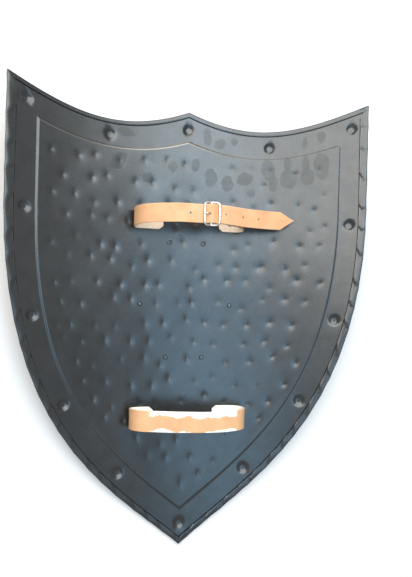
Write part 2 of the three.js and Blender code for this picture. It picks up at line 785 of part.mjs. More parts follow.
addPiece('shield_plate', shieldPlate(), blackSteel);
addPiece('arm_strap_long', longStrap(), leather);
addPiece('arm_strap_short', shortStrap(), paleLeather);
addPiece('grip_strap', gripStrap(), leather);
addPiece('buckle_frame', buckleFrame(), nickel);
addPiece('buckle_tongue', buckleTongue(), nickel);
addPiece('fold_rivet', foldRivet(), nickel);
Object.entries(strapRivetPlaces).forEach(([name, place]) => {
  addPiece(name, strapRivet(place), rivetSteel);
});
fieldRivetPlaces.forEach((place, i) => {
  addPiece(`field_rivet_${i + 1}`, fieldRivet(place), rivetSteel);
});

export default shield;
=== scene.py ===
"""A heater shield of blackened, hammered sheet steel, lying on its domed front.

Its hollow inner side looks up, with a buckled arm strap and a grip strap of tan leather.
Metres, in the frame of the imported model: X across, Y from the tip to the top edge, Z up.
"""
import math

import bpy
import numpy as np
from mathutils import Matrix, Vector


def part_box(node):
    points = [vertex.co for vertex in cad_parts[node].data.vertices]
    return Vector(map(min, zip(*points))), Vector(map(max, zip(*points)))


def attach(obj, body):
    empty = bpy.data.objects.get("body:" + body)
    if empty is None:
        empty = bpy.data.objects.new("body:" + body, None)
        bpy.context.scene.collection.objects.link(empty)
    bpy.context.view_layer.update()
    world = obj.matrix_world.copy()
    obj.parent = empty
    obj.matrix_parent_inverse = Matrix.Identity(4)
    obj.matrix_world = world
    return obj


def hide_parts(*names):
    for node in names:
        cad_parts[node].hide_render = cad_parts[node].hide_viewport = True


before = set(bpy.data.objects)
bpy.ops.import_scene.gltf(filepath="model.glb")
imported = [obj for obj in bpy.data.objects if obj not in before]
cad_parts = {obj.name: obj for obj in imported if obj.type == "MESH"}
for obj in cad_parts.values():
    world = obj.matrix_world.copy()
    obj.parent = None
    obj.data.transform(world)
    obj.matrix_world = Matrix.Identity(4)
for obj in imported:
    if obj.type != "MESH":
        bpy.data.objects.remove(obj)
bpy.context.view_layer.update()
scene = bpy.context.scene

# ---- camera, floor and light ----------------------------------------------------------
# A hand-held camera about a metre above the shield, a little to its left, looks down on
# it. A large soft lamp stands beyond its top edge, and a narrower bluish one hangs above it.

CAMERA_PLACE = Vector((-0.2504, 0.0532, 1.0599))
CAMERA_RIGHT = Vector((0.9653, 0.0260, 0.2600))
CAMERA_UP = Vector((-0.0249, 0.9997, -0.0076))
CAMERA_LENS = 61.17  # for a sensor 36 mm wide

camera_data = bpy.data.cameras.new("camera")
camera_data.sensor_fit = "HORIZONTAL"
camera_data.sensor_width = 36
camera_data.lens = CAMERA_LENS
camera = bpy.data.objects.new("camera", camera_data)
turn = Matrix((CAMERA_RIGHT, CAMERA_UP, CAMERA_RIGHT.cross(CAMERA_UP))).transposed()
camera.matrix_world = Matrix.Translation(CAMERA_PLACE) @ turn.to_4x4()
scene.collection.objects.link(camera)
scene.camera = camera
scene.view_settings.view_transform = "Standard"


LAMP_DISTANCE = 2.3


def soft_lamp(name, direction, width, depth, radiance, colour):
    """A flat lamp that faces the shield. Its power is radiance times pi times its area."""
    data = bpy.data.lights.new(name, "AREA")
    data.shape = "RECTANGLE"
    data.size = width
    data.size_y = depth
    data.energy = radiance * math.pi * width * depth
    data.color = colour
    lamp = bpy.data.objects.new(name, data)
    towards = Vector(direction).normalized()
    place = Matrix.Translation(towards * LAMP_DISTANCE)
    lamp.matrix_world = place @ towards.to_track_quat("Z", "Y").to_matrix().to_4x4()
    scene.collection.objects.link(lamp)


soft_lamp("window_lamp", (-0.16, 0.53, 0.82), 3.1, 2.5, 3.5, (1.0, 0.985, 0.95))
soft_lamp("sky_lamp", (0.16, -0.03, 1.0), 2.1, 0.75, 2.4, (0.32, 0.68, 1.0))

world = bpy.data.worlds.new("studio")
scene.world = world
world.use_nodes = True
background = world.node_tree.nodes["Background"]
background.inputs["Color"].default_value = (0.98, 0.99, 1.0, 1)
background.inputs["Strength"].default_value = 0.50


def new_piece(name, points, quads, triangles=(), crease=40):
    """A smooth-shaded mesh from arrays of points and faces, sharp where faces meet at more
    than the crease angle in degrees."""
    faces = [*np.asarray(quads).tolist(), *np.asarray(triangles).tolist()]
    mesh = bpy.data.meshes.new(name)
    mesh.from_pydata(np.asarray(points, dtype=float).tolist(), [], faces)
    mesh.shade_smooth()
    mesh.set_sharp_from_angle(angle=math.radians(crease))
    piece = bpy.data.objects.new(name, mesh)
    scene.collection.objects.link(piece)
    return piece


def new_material(name):
    """A node material, with its shader and its Object coordinates."""
    material = bpy.data.materials.new(name)
    material.use_nodes = True
    nodes = material.node_tree.nodes
    coordinates = nodes.new("ShaderNodeTexCoord").outputs["Object"]
    return material, nodes["Principled BSDF"], coordinates


def set_inputs(node, values):
    """Sets each input of a node to a value, or links it to another node's output."""
    for name, value in values.items():
        if isinstance(value, bpy.types.NodeSocket):
            node.id_data.links.new(value, node.inputs[name])
        else:
            node.inputs[name].default_value = value


FLOOR_HALF = 4.0
floor = new_piece(
    "floor",
    [(x * FLOOR_HALF, y * FLOOR_HALF, 0) for x, y in ((-1, -1), (1, -1), (1, 1), (-1, 1))],
    [(0, 1, 2, 3)],
)
floor_paint, shader, _ = new_material("floor_paint")
set_inputs(shader, {
    "Base Color": (0.86, 0.86, 0.86, 1), "Roughness": 0.9, "Specular IOR Level": 0.2,
})
floor.data.materials.append(floor_paint)

# ---- shield plate ---------------------------------------------------------------------
# One sheet of 1.2 mm steel, rolled to a shallow curve. Its edge is folded over onto the
# inner side, its field is pressed up from the border, which carries a row of round bosses,
# and is dented all over with a hammer. It is blackened and has oily finger marks.

CURVE_RADIUS = 0.600
SHEET = 0.0012
STEP_HEIGHT = 0.0013  # of the field above the border
BOSS_DEPTH = 0.0032
MIDDLE_Z = SHEET / 2 + STEP_HEIGHT + BOSS_DEPTH  # of the field's middle, on the centre line
plate_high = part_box("shield_plate")[1]
HALF_LENGTH = plate_high.y
HALF_GIRTH = CURVE_RADIUS * math.asin(plate_high.x / CURVE_RADIUS)
PEAK_Y = HALF_LENGTH - 0.021
SHOULDER_Y = HALF_LENGTH - 0.167

HEM_TOP = 0.007
HEM_SIDE = 0.0125
HEM_TIP = 0.0085
FOLD_RADIUS = 0.00095  # of the middle surface round the folded edge
PLEAT_PITCH = 0.036  # of the hem's pleats at the corners, less PLEAT_CLOSER at the tip
PLEAT_CLOSER = 0.006
PLEAT_DEPTH = 0.0013
LAP_HEIGHT = 0.0009  # of the hem's laps at the corners and the tip
LAP_REACH = 0.010
LEFT_WIDER = 0.005  # the border's extra width at the upper left side
LEFT_HIGHER = 0.0035  # and how much narrower it is along the top there
LEFT_FADE = 0.120
FIELD_INSET = 0.0485  # of the field's own net from the edge
STEP_INSET = 0.0435
STEP_HALF_WIDTH = 0.0020
BOSS_INSET = 0.026
BOSS_FLAT = 0.0050
BOSS_RIM = 0.0090
BOSS_DRAW = 0.0003  # how far a boss draws down the sheet round it
BOSS_DRAW_REACH = 0.012
SIDE_BOSS_PLACES = (0.212, 0.425, 0.622, 0.817)

TOP_STEPS = 66  # of the field's ring, from the peak to a corner
SIDE_STEPS = 174  # and from there to the tip
FINE = 3000
EDGE_PITCH = 0.00183  # between the points along the edge


def on_sheet(s, y, n):
    """A place on the rolled sheet: s along its curve, y along the shield and n above the
    field's middle surface, which is a cylinder about a line above the shield."""
    angle = s / CURVE_RADIUS
    radius = CURVE_RADIUS - n
    height = MIDDLE_Z + CURVE_RADIUS - radius * np.cos(angle)
    return np.stack((radius * np.sin(angle), y, height), axis=-1)


def smooth(value, low, high):
    """0 below low and 1 above high, with an S-curve between them."""
    share = np.clip((value - low) / (high - low), 0, 1)
    return share * share * (3 - 2 * share)


def cubic(corners, t):
    """A Bezier curve: its four corner points, weighted by the terms of ((1 - t) + t) cubed."""
    weights = np.stack(((1 - t) ** 3, 3 * (1 - t) ** 2 * t, 3 * (1 - t) * t**2, t**3), axis=1)
    return weights @ np.asarray(corners)


def read_line(at, along, line):
    """The points of a line at distances along it, where its own points' are known."""
    return np.stack([np.interp(at, along, axis) for axis in line.T], axis=-1)


def spaced(line, count):
    """Points at equal distances along a line of points."""
    along = np.concatenate(([0], np.cumsum(np.hypot(*np.diff(line, axis=0).T))))
    return read_line(np.linspace(0, along[-1], count), along, line)


def moved_in(line, inset):
    """A line moved sideways by a distance, to the right of its direction."""
    along = np.gradient(line, axis=0)
    along /= np.hypot(along[:, 0], along[:, 1])[:, None]
    return line + inset * np.stack((along[:, 1], -along[:, 0]), axis=1)


sweep = np.linspace(0, 1, FINE)
top_edge = spaced(cubic([
    (0, PEAK_Y), (0.389 * HALF_GIRTH, 0.281), (0.618 * HALF_GIRTH, 0.3025),
    (HALF_GIRTH, HALF_LENGTH),
], sweep), FINE)
side_edge = spaced(np.vstack((
    [(HALF_GIRTH, HALF_LENGTH)],
    cubic([(HALF_GIRTH, SHOULDER_Y), (HALF_GIRTH, -0.160), (0.097, -0.262),
           (0, -HALF_LENGTH)], sweep),
)), FINE)


def inset_half(inset, top_steps, side_steps):
    """The right half of the outline, moved in by a distance and cut where its top and side
    meet: the top from the middle to the corner, and the side from there to the tip."""
    wall = HALF_GIRTH - inset
    top, side = moved_in(top_edge, inset), moved_in(side_edge, inset)
    across = np.linspace(0, wall, FINE)
    top = np.stack((across, np.interp(across, top[:, 0], top[:, 1])), axis=1)
    tip_y = np.interp(0, side[::-1, 0], side[::-1, 1])
    side = side[(side[:, 0] > 0) & (side[:, 1] < top[-1, 1])]
    side = np.vstack(([(wall, top[-1, 1])], side, [(0, tip_y)]))
    return spaced(top, top_steps + 1), spaced(side, side_steps + 1)


def on_left(places, inset):
    """The left side's places for those of the right side: the mirror image, moved inwards
    and upwards by amounts that grow with the inset, towards the side and towards the top."""
    share = min(1, inset / BOSS_INSET) * np.minimum(1, places[:, 0] / LEFT_FADE)
    share = share * np.clip((places[:, 1] + 0.05) / 0.2, 0, 1)
    return np.stack((LEFT_WIDER * share - places[:, 0], places[:, 1] + LEFT_HIGHER * share),
                    axis=1)


def ring(inset, top_steps=2 * TOP_STEPS, side_steps=2 * SIDE_STEPS):
    """The whole outline moved in: from the peak down the right side and up the left."""
    top, side = inset_half(inset, top_steps, side_steps)
    right = np.vstack((top[:-1], side))
    return np.vstack((right, on_left(right[-2:0:-1], inset)))


def boss_places():
    """The bosses' middles: at the peak, at the tip, and six down each side."""
    top, side = inset_half(BOSS_INSET, 2, 1000)
    right = np.array([top[1], top[2]] + [side[round(1000 * share)] for share in SIDE_BOSS_PLACES])
    return np.vstack(([top[0], side[-1]], right, on_left(right, BOSS_INSET)))


def dent_places(random):
    """Hammer marks: a triangular lattice, each place moved at random, kept clear of the
    border and of the small rivets, with about half left out at the top right. A place is
    inside a line if it is on the inner side of the line's nearest stretch."""
    pitch, row, jitter = 0.0345, 0.0300, 0.0085
    clear_of_step, clear_of_rivet = 0.013, 0.011
    u, v = np.meshgrid(np.arange(-9, 10), np.arange(-12, 12))
    places = np.stack(((u + 0.5 * (v % 2)) * pitch, v * row), axis=-1).reshape(-1, 2)
    places = places + random.uniform(-jitter, jitter, places.shape)
    limit = ring(STEP_INSET + clear_of_step, 60, 160)
    sides = np.roll(limit, -1, axis=0) - limit
    towards = places[:, None] - limit[None]
    reach = (towards * sides).sum(axis=2) / (sides**2).sum(axis=1)
    foot = limit + np.clip(reach, 0, 1)[..., None] * sides
    nearest = np.argmin(((places[:, None] - foot) ** 2).sum(axis=2), axis=1)
    beside = towards[np.arange(len(places)), nearest]
    places = places[sides[nearest, 0] * beside[:, 1] < sides[nearest, 1] * beside[:, 0]]
    rivets = np.array([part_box(f"field_rivet_{k}")[0][:2] for k in range(1, 7)]) + 0.004
    gap = np.hypot(*(places[:, None] - rivets[None]).transpose(2, 0, 1)).min(axis=1)
    sparse = (places[:, 0] > 0.02) & (places[:, 1] > 0.19) & (random.random(len(places)) > 0.45)
    return places[(gap > clear_of_rivet) & ~sparse]


random = np.random.default_rng(11)
bosses = boss_places()
dents = dent_places(random)
dent_depth = random.uniform(0.0005, 0.0013, len(dents))
dent_core = random.uniform(0.0026, 0.0042, len(dents))
dent_flare = random.uniform(0.0075, 0.0125, len(dents))
dent_slant = random.uniform(0, math.pi, len(dents))
wave_turn = random.uniform(0, 2 * math.pi, 9)
wave_phase = random.uniform(0, 2 * math.pi, 9)
wave_length = random.uniform(0.055, 0.13, 9)


def drawn_in(places, centres, width, share):
    """Moves places towards each centre near them, so that the net is finer there: their
    distance shrinks by the share, which fades with the square of distance over width."""
    moved = places.copy()
    for centre in centres:
        offset = places - centre
        fade = np.exp(-(offset**2).sum(axis=-1) / width**2)
        moved -= share * fade[..., None] * offset
    return moved


def hammered(s, y):
    """Depth of the field's relief. Each mark is a small bowl in the middle of a wider cone,
    both fading with distance, and slow waves in nine directions lie under them."""
    relief = np.zeros_like(s)
    for (cs, cy), depth, core, flare, slant in zip(
            dents, dent_depth, dent_core, dent_flare, dent_slant):
        along = (s - cs) * math.cos(slant) + (y - cy) * math.sin(slant)
        cross = (y - cy) * math.cos(slant) - (s - cs) * math.sin(slant)
        distance = np.hypot(along * 0.88, cross * 1.1)
        relief -= 0.60 * depth * np.exp(-(distance / (0.95 * core)) ** 2)
        relief -= 0.75 * depth * np.exp(-distance / (0.44 * flare))
    for turn, phase, length in zip(wave_turn, wave_phase, wave_length):
        across = s * math.cos(turn) + y * math.sin(turn)
        relief += 0.00006 * np.sin(2 * math.pi * across / length + phase)
    return relief


def pressed(s, y):
    """Depth of the bosses: flat dishes with rounded walls, the sheet round them drawn in."""
    relief = np.zeros_like(s)
    for cs, cy in bosses:
        distance = np.hypot(s - cs, y - cy)
        relief -= (BOSS_DEPTH - BOSS_DRAW) * (1 - smooth(distance, BOSS_FLAT, BOSS_RIM))
        relief -= BOSS_DRAW * np.exp(-(distance / BOSS_DRAW_REACH) ** 2)
    return relief


def step(inset):
    """Height of the sheet by its distance from the edge: the border, then an S-curve up to
    the field."""
    return STEP_HEIGHT * (smooth(inset, STEP_INSET - STEP_HALF_WIDTH,
                                 STEP_INSET + STEP_HALF_WIDTH) - 1)


def from_sides(rows, columns):
    """How many steps each point of a net is from the nearest of its four sides."""
    v, u = np.arange(rows), np.arange(columns)
    return np.minimum.outer(np.minimum(v, v[::-1]), np.minimum(u, u[::-1]))


def field_net(border):
    """The field as a net of rows and columns between the four sides of its border ring,
    evened out by moving each point to the middle of its neighbours many times."""
    count = len(border)
    columns, rows = 2 * TOP_STEPS, SIDE_STEPS - TOP_STEPS
    top = border[np.arange(-TOP_STEPS, TOP_STEPS + 1) % count]
    right = border[TOP_STEPS:TOP_STEPS + rows + 1]
    left = border[(-TOP_STEPS - np.arange(rows + 1)) % count]
    bottom = border[(columns + SIDE_STEPS - np.arange(columns + 1)) % count]
    u = np.linspace(0, 1, columns + 1)[None, :, None]
    v = np.linspace(0, 1, rows + 1)[:, None, None]
    net = (1 - v) * top[None] + v * bottom[None] + (1 - u) * left[:, None] + u * right[:, None]
    net -= (1 - v) * ((1 - u) * top[0] + u * top[-1]) + v * ((1 - u) * bottom[0] + u * bottom[-1])
    for _ in range(400):
        inner = net[:-2, 1:-1] + net[2:, 1:-1] + net[1:-1, :-2] + net[1:-1, 2:]
        net[1:-1, 1:-1] = inner / 4
    fade = np.clip(from_sides(rows + 1, columns + 1) / 3, 0, 1)
    return net + fade[..., None] * (drawn_in(net, dents, 0.008, 0.55) - net)


def cells(here, there):
    """Faces with four corners, between rows of point numbers and the ones next to them."""
    return np.stack((here[:-1], there[:-1], there[1:], here[1:]), axis=-1)


def plate_surface():
    """The sheet's middle surface: the net of the field, then rings outwards through the
    border line and the bosses, under the hem, round the fold and back over it."""
    net = field_net(ring(FIELD_INSET, TOP_STEPS, SIDE_STEPS))
    rows, columns = net.shape[:2]
    s, y = net[..., 0], net[..., 1]
    height = smooth(from_sides(rows, columns), 0, 5.0) * hammered(s, y)
    points = [on_sheet(s, y, height).reshape(-1, 3)]
    marks = [np.zeros((rows * columns, 2))]
    corner = np.arange(rows * columns).reshape(rows, columns)
    quads = [np.stack((corner[:-1, :-1], corner[1:, :-1], corner[1:, 1:], corner[:-1, 1:]),
                      axis=-1).reshape(-1, 4)]

    border = np.concatenate((
        corner[0, TOP_STEPS:], corner[1:, -1], corner[-1, -2::-1], corner[-2::-1, 0],
        corner[0, 1:TOP_STEPS],
    ))
    count = 2 * len(border)
    first = rows * columns

    index = np.arange(count)
    along = np.minimum(index, count - index)
    on_side = smooth(along, 2 * TOP_STEPS - 1.0, 2 * TOP_STEPS + 1.0)
    for inset in (0.0470, 0.0458, 0.0452, 0.0446, 0.0439, 0.0431, 0.0424, 0.0418, 0.0406,
                  0.0386, 0.0364, 0.0342, 0.0320, 0.0299, 0.0279, 0.0260, 0.0241, 0.0221,
                  0.0200, 0.0178, 0.0154):
        place = drawn_in(ring(inset), bosses, 0.0070, 0.42)
        depth = pressed(place[:, 0], place[:, 1]) + step(inset)
        points.append(on_sheet(place[:, 0], place[:, 1], depth))
        # A pale line painted along the crest of the field's step, strongest along the top at the
        # left and the middle: partly wear, partly painted highlight.
        crest = math.exp(-((inset - STEP_INSET - 0.6 * STEP_HALF_WIDTH) / 0.0009) ** 2)
        crest_wear_and_painted_highlight = crest * (1 - 0.8 * smooth(place[:, 0], 0.0, 0.07)) * (1 - 0.85 * on_side)
        marks.append(np.stack((crest_wear_and_painted_highlight, 0 * crest_wear_and_painted_highlight), axis=1))

    edge, within = ring(0), ring(HEM_SIDE)
    down = np.clip((along - 2 * TOP_STEPS) / (2 * SIDE_STEPS), 0, 1)
    width = (1 - on_side) * HEM_TOP + on_side * (HEM_SIDE + (HEM_TIP - HEM_SIDE) * down)
    from_corner = (along - 2 * TOP_STEPS) * EDGE_PITCH
    right_side = index < count / 2
    beat = from_corner / (PLEAT_PITCH - PLEAT_CLOSER * down) + np.where(right_side, 0.3, 0.75)
    beat = beat + 0.13 * np.sin(beat * 1.9 + 4 * right_side)

    def pleat(slant):
        """A saw tooth along each side, its phase moved by a slant across the hem."""
        return on_side * ((beat + slant) % 1.0 - 0.5)

    def hem_row(distance, n, rubbed_and_painted_highlight, soot_and_painted_shade):
        share = (distance / HEM_SIDE)[:, None]
        place = edge + share * (within - edge)
        points.append(on_sheet(place[:, 0], place[:, 1], n - STEP_HEIGHT))
        marks.append(np.stack((rubbed_and_painted_highlight * whole, soot_and_painted_shade * whole), axis=1))

    whole = np.ones(count)
    # The rows just outside and under the hem's edge are painted near black: partly soot, partly
    # painted shade in the gap under the fold.
    for distance, soot_and_painted_shade in ((width + 0.0018, 0.0), (width + 0.0007, 1.0), (0.6 * width, 1.0)):
        hem_row(distance, 0 * whole, 0, soot_and_painted_shade)
    facet = 0.0006 * (2 * np.abs(pleat(0))) ** 2 * on_side
    pivot = FOLD_RADIUS + SHEET / 2 + 0.0001 + 0.0005 * on_side - facet
    for degrees in (-90, -45, 0, 45, 90):
        angle = math.radians(degrees)
        hem_row(pivot - FOLD_RADIUS * math.cos(angle),
                (FOLD_RADIUS + FOLD_RADIUS * math.sin(angle)) * whole, 0, 0)
    lap_corner = np.where(right_side, 1 - on_side, on_side)
    near_corner = np.exp(-(from_corner / LAP_REACH) ** 2)
    near_tip = np.exp(-((2 * TOP_STEPS + 2 * SIDE_STEPS - along) * EDGE_PITCH / LAP_REACH) ** 2)
    lap = LAP_HEIGHT * (lap_corner * near_corner + right_side * near_tip)
    # The two rows at the hem's inner edge are painted pale: partly wear, partly painted highlight.
    for share, crown, rubbed_and_painted_highlight in ((0.32, 0.00015, 0), (0.55, 0.00020, 0), (0.76, 0.00012, 0),
                                 (0.92, 0.0, 0.3), (1.0, -0.00010, 0.35)):
        slanted = pleat(0.45 * share)
        tooth = width + 0.0006 * slanted
        fold = PLEAT_DEPTH * math.sin(math.pi * (0.1 + 0.8 * share)) * slanted
        hem_row(pivot + (tooth - pivot) * share,
                2 * FOLD_RADIUS + crown + lap + fold, rubbed_and_painted_highlight, 0)

    points, marks = np.concatenate(points), np.concatenate(marks)
    outer = first + np.arange(count)
    middle = outer[1::2]
    after = np.roll(border, -1)
    triangles = np.concatenate((
        np.stack((border, middle, outer[0::2]), axis=1),
        np.stack((border, after, middle), axis=1),
        np.stack((middle, after, np.roll(outer[0::2], -1)), axis=1),
    ))
    ring_count = (len(points) - first) // count
    here = first + np.arange(ring_count * count).reshape(ring_count, count)
    quads.append(cells(here, np.roll(here, -1, axis=1)).reshape(-1, 4))
    return (points, np.concatenate(quads), triangles, here[-1]), marks


def unit(rows):
    """Rows of numbers, each brought to a length of one."""
    return rows / np.linalg.norm(rows, axis=1)[:, None]


def facing(points, quads, triangles):
    """The direction a surface faces at each point: the sum of its faces' own directions."""
    normal = np.zeros_like(points)
    for faces in (quads, triangles):
        corners = points[faces]
        across = np.cross(corners[:, 2] - corners[:, 0], corners[:, -1] - corners[:, 1])
        for k in range(faces.shape[1]):
            np.add.at(normal, faces[:, k], across)
    return unit(normal)


def thickened(points, quads, triangles, rim, thickness):
    """A closed wall: the surface moved half its thickness each way along the direction it
    faces, and joined along its rim."""
    normal = facing(points, quads, triangles)
    count = len(points)
    both = np.concatenate((points + normal * thickness / 2, points - normal * thickness / 2))
    ahead = np.roll(rim, -1)
    walls = np.stack((rim, rim + count, ahead + count, ahead), axis=1)[:, ::-1]
    return (both, np.concatenate((quads, quads[:, ::-1] + count, walls)),
            np.concatenate((triangles, triangles[:, ::-1] + count)))


def add_value(piece, name, values):
    """A number at each point of a piece, for its material."""
    attribute = piece.data.attributes.new(name, "FLOAT", "POINT")
    attribute.data.foreach_set("value", np.asarray(values, dtype=np.float32))


def new_node(beside, kind, values, **settings):
    """A node with its settings and inputs, in the tree of another node or its output."""
    node = beside.id_data.nodes.new("ShaderNode" + kind)
    for setting, value in settings.items():
        setattr(node, setting, value)
    set_inputs(node, values)
    return node


def noise(coordinates, scale, detail=4.0, roughness=0.55):
    """Smooth random values with that many waves to the metre."""
    values = {"Vector": coordinates, "Scale": scale, "Detail": detail, "Roughness": roughness}
    return new_node(coordinates, "TexNoise", values).outputs["Fac"]


def ramp(value, stops):
    """A colour for a value, blended between stops of (place, colour or grey)."""
    node = new_node(value, "ValToRGB", {"Fac": value})
    elements = node.color_ramp.elements
    while len(elements) < len(stops):
        elements.new(0.5)
    for element, (place, colour) in zip(elements, stops):
        element.position = place
        element.color = (*((colour,) * 3 if isinstance(colour, float) else colour), 1)
    return node.outputs["Color"]


def blended(share, first, second, mode="MIX"):
    """First and second mixed by a share, or combined in another mode. Second may be a colour."""
    second = (*second, 1) if isinstance(second, tuple) else second
    return new_node(first, "Mix", {0: share, 6: first, 7: second},
                    data_type="RGBA", blend_type=mode).outputs[2]


def bumped(shader, layers):
    """Bump layers of (height, depth in metres, strength), one over another."""
    normal = {}
    for height, depth, strength in layers:
        values = {"Height": height, "Distance": depth, "Strength": strength, **normal}
        normal = {"Normal": new_node(shader, "Bump", values).outputs["Normal"]}
    set_inputs(shader, normal)


def read_value(beside, name):
    """A piece's number at each point, as a node's output."""
    return new_node(beside, "Attribute", {}, attribute_name=name).outputs["Fac"]


def calculated(operation, *values):
    """A sum on numbers and other nodes' outputs, the first of which is an output."""
    return new_node(values[0], "Math", dict(enumerate(values)),
                    operation=operation).outputs[0]


def fit(piece, material, node):
    """Gives a finished piece its material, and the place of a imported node."""
    piece.data.materials.append(material)
    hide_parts(node)
    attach(piece, "root")


surface, plate_marks = plate_surface()
wall_points, wall_quads, wall_triangles = thickened(*surface, SHEET)
plate = new_piece("blackened_plate", wall_points, wall_quads, wall_triangles, crease=72)
# Per point: pale lines that are partly wear and partly painted highlight, and near black at the
# hem's edge, partly soot and partly painted shade.
add_value(plate, "rubbed_and_painted_highlight", np.tile(plate_marks[:, 0], 2))
add_value(plate, "soot_and_painted_shade", np.tile(plate_marks[:, 1], 2))


PRINT_WANDER = 0.004  # how far a finger print's outline strays


def print_mask(place, prints):
    """1 inside any of a list of ovals (x, y, half width, half length, turn in degrees) whose
    outlines a noise makes uneven, and 0 outside, with a narrow edge."""
    spread = ramp(noise(place, 70.0, 3.0), [(0.3, 0.0), (0.7, 1.0)])
    moved = new_node(place, "VectorMath", {
        0: spread, 1: (PRINT_WANDER, PRINT_WANDER, 0.0), 2: place,
    }, operation="MULTIPLY_ADD").outputs["Vector"]
    highest = None
    for x, y, half_width, half_length, turn in prints:
        local = new_node(place, "Mapping", {
            "Vector": moved,
            "Location": (x + PRINT_WANDER / 2, y + PRINT_WANDER / 2, 0.0),
            "Rotation": (0.0, 0.0, math.radians(turn)),
            "Scale": (half_width, half_length, 1.0),
        }, vector_type="TEXTURE").outputs["Vector"]
        oval = new_node(place, "TexGradient", {"Vector": local},
                        gradient_type="SPHERICAL").outputs["Fac"]
        highest = oval if highest is None else calculated("MAXIMUM", highest, oval)
    return ramp(highest, [(0.02, 0.0), (0.10, 1.0)])


def paint_blackened_steel():
    """Dark metal whose black skin varies in tone and gloss, with fine hammer grain, dull greasy
    finger prints, pale lines on the step's crest and the hem's inner edge that are partly wear and
    partly painted highlight, and near black next to and under the hem's edge, partly soot and partly
    painted shade in the gap."""
    material, shader, place = new_material("blackened_steel")
    cloud = noise(place, 5.0, 5.0)
    grain = noise(place, 900.0, 2.0)
    tone = ramp(cloud, [(0.3, (0.082, 0.085, 0.086)), (0.7, (0.100, 0.103, 0.104))])
    mottle = noise(place, 60.0, 5.0, 0.65)
    tone = blended(1.0, tone, ramp(mottle, [(0.35, 0.90), (0.65, 1.0)]), "MULTIPLY")
    prints = print_mask(place, [
        (0.036, 0.225, 0.010, 0.015, 8), (0.063, 0.217, 0.011, 0.014, -14),
        (0.091, 0.226, 0.013, 0.011, 20), (0.100, 0.203, 0.007, 0.006, 0),
        (0.127, 0.240, 0.011, 0.018, 12), (0.134, 0.222, 0.008, 0.015, 6),
        (0.158, 0.228, 0.014, 0.016, 10), (0.156, 0.250, 0.006, 0.014, 4),
        (0.186, 0.232, 0.012, 0.015, -6), (0.184, 0.252, 0.007, 0.014, 0),
        (0.207, 0.250, 0.012, 0.023, 6), (0.205, 0.295, 0.007, 0.009, 0),
        (0.182, 0.286, 0.005, 0.009, 0), (0.030, 0.288, 0.007, 0.014, 10),
        (0.050, 0.278, 0.010, 0.008, 30), (0.072, 0.283, 0.005, 0.007, 0),
        (0.012, 0.243, 0.007, 0.010, 0), (-0.025, 0.238, 0.007, 0.010, -12),
        (-0.064, 0.219, 0.009, 0.008, 25), (-0.109, 0.240, 0.011, 0.015, -35),
        (-0.098, 0.284, 0.015, 0.006, -12),
    ])
    patchy = ramp(mottle, [(0.35, 0.30), (0.6, 0.62)])
    greasy = blended(1.0, prints, patchy, "MULTIPLY")
    tone = blended(greasy, tone, (0.060, 0.062, 0.060))
    # Pale on the step's crest and the hem's inner edge: partly wear, partly painted highlight.
    rubbed_and_painted_highlight = ramp(read_value(shader, "rubbed_and_painted_highlight"), [(0.15, 0.0), (1.0, 0.7)])
    tone = blended(rubbed_and_painted_highlight, tone, (0.30, 0.29, 0.26))
    # Near black next to and under the hem's edge: partly soot, partly painted shade in the gap.
    tone = blended(read_value(shader, "soot_and_painted_shade"), tone, (0.008, 0.008, 0.008))
    gloss = ramp(noise(place, 22.0, 6.0), [(0.3, 0.25), (0.7, 0.31)])
    gloss = blended(greasy, gloss, (0.38, 0.38, 0.38))
    set_inputs(shader, {"Base Color": tone, "Roughness": gloss, "Metallic": 0.9})
    bumped(shader, [(grain, 0.0002, 0.25)])
    return material


fit(plate, paint_blackened_steel(), "shield_plate")

# ---- leather straps -------------------------------------------------------------------
# Two bands of tan leather, cut with a knife, with rounded edges: a grip strap in one piece,
# and an arm strap of a long half with belt holes and a short half that holds the buckle.
# Each foot is turned under, pale flesh side up, and riveted to the plate.

LEATHER = 0.0024
THIN_LEATHER = 0.0018
ARM_WIDTH = 0.0278
GRIP_WIDTH = 0.031
CHAMFER = 0.006  # cut corners of a foot
POINT_LENGTH = 0.025
BELT_HOLE_PITCH = 0.0283
BELT_HOLE_RADIUS = 0.0016
RIVET_BORE = 0.0028
CLEARANCE = 0.0004  # between pieces that touch
UNDER = SHEET / 2 + CLEARANCE  # a foot's underside above the field's middle surface


def middle_of(node):
    """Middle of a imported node's box."""
    low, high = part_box(node)
    return (low + high) / 2


arm_y = middle_of("arm_rivet_left").y
grip_y = middle_of("grip_rivet_left").y
buckle = middle_of("buckle_frame")
lean_y = buckle.y  # the arm strap leans a little towards the top edge
buckle_low, buckle_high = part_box("buckle_frame")
BAR_RADIUS = 0.00175
BUCKLE_HALF_WIDTH = (buckle_high.x - buckle_low.x) / 2 - BAR_RADIUS
BUCKLE_HALF_HEIGHT = (buckle_high.y - buckle_low.y) / 2 - BAR_RADIUS
bar_z = buckle_low.z + BAR_RADIUS
BUCKLE_CRANK = buckle_high.z - buckle_low.z - 2 * BAR_RADIUS  # outer bars above the middle one


def foot_height(x, thickness):
    """Height of the middle of a strap that lies on the field at a distance x from the centre."""
    radius = CURVE_RADIUS - UNDER - thickness / 2
    return MIDDLE_Z + CURVE_RADIUS - math.sqrt(radius**2 - x**2)


def lying(places, y, thickness):
    """Waypoints of a strap's foot: flat on the field, and starting to rise at the last."""
    heights = [foot_height(x, thickness) for x in places]
    heights[-1] += 0.0001
    return [(x, y, z) for x, z in zip(places, heights)]


def raised(y, places):
    """Waypoints clear of the field, from places (x, distance from a line at y, z)."""
    return [(x, y + aside, z) for x, aside, z in places]


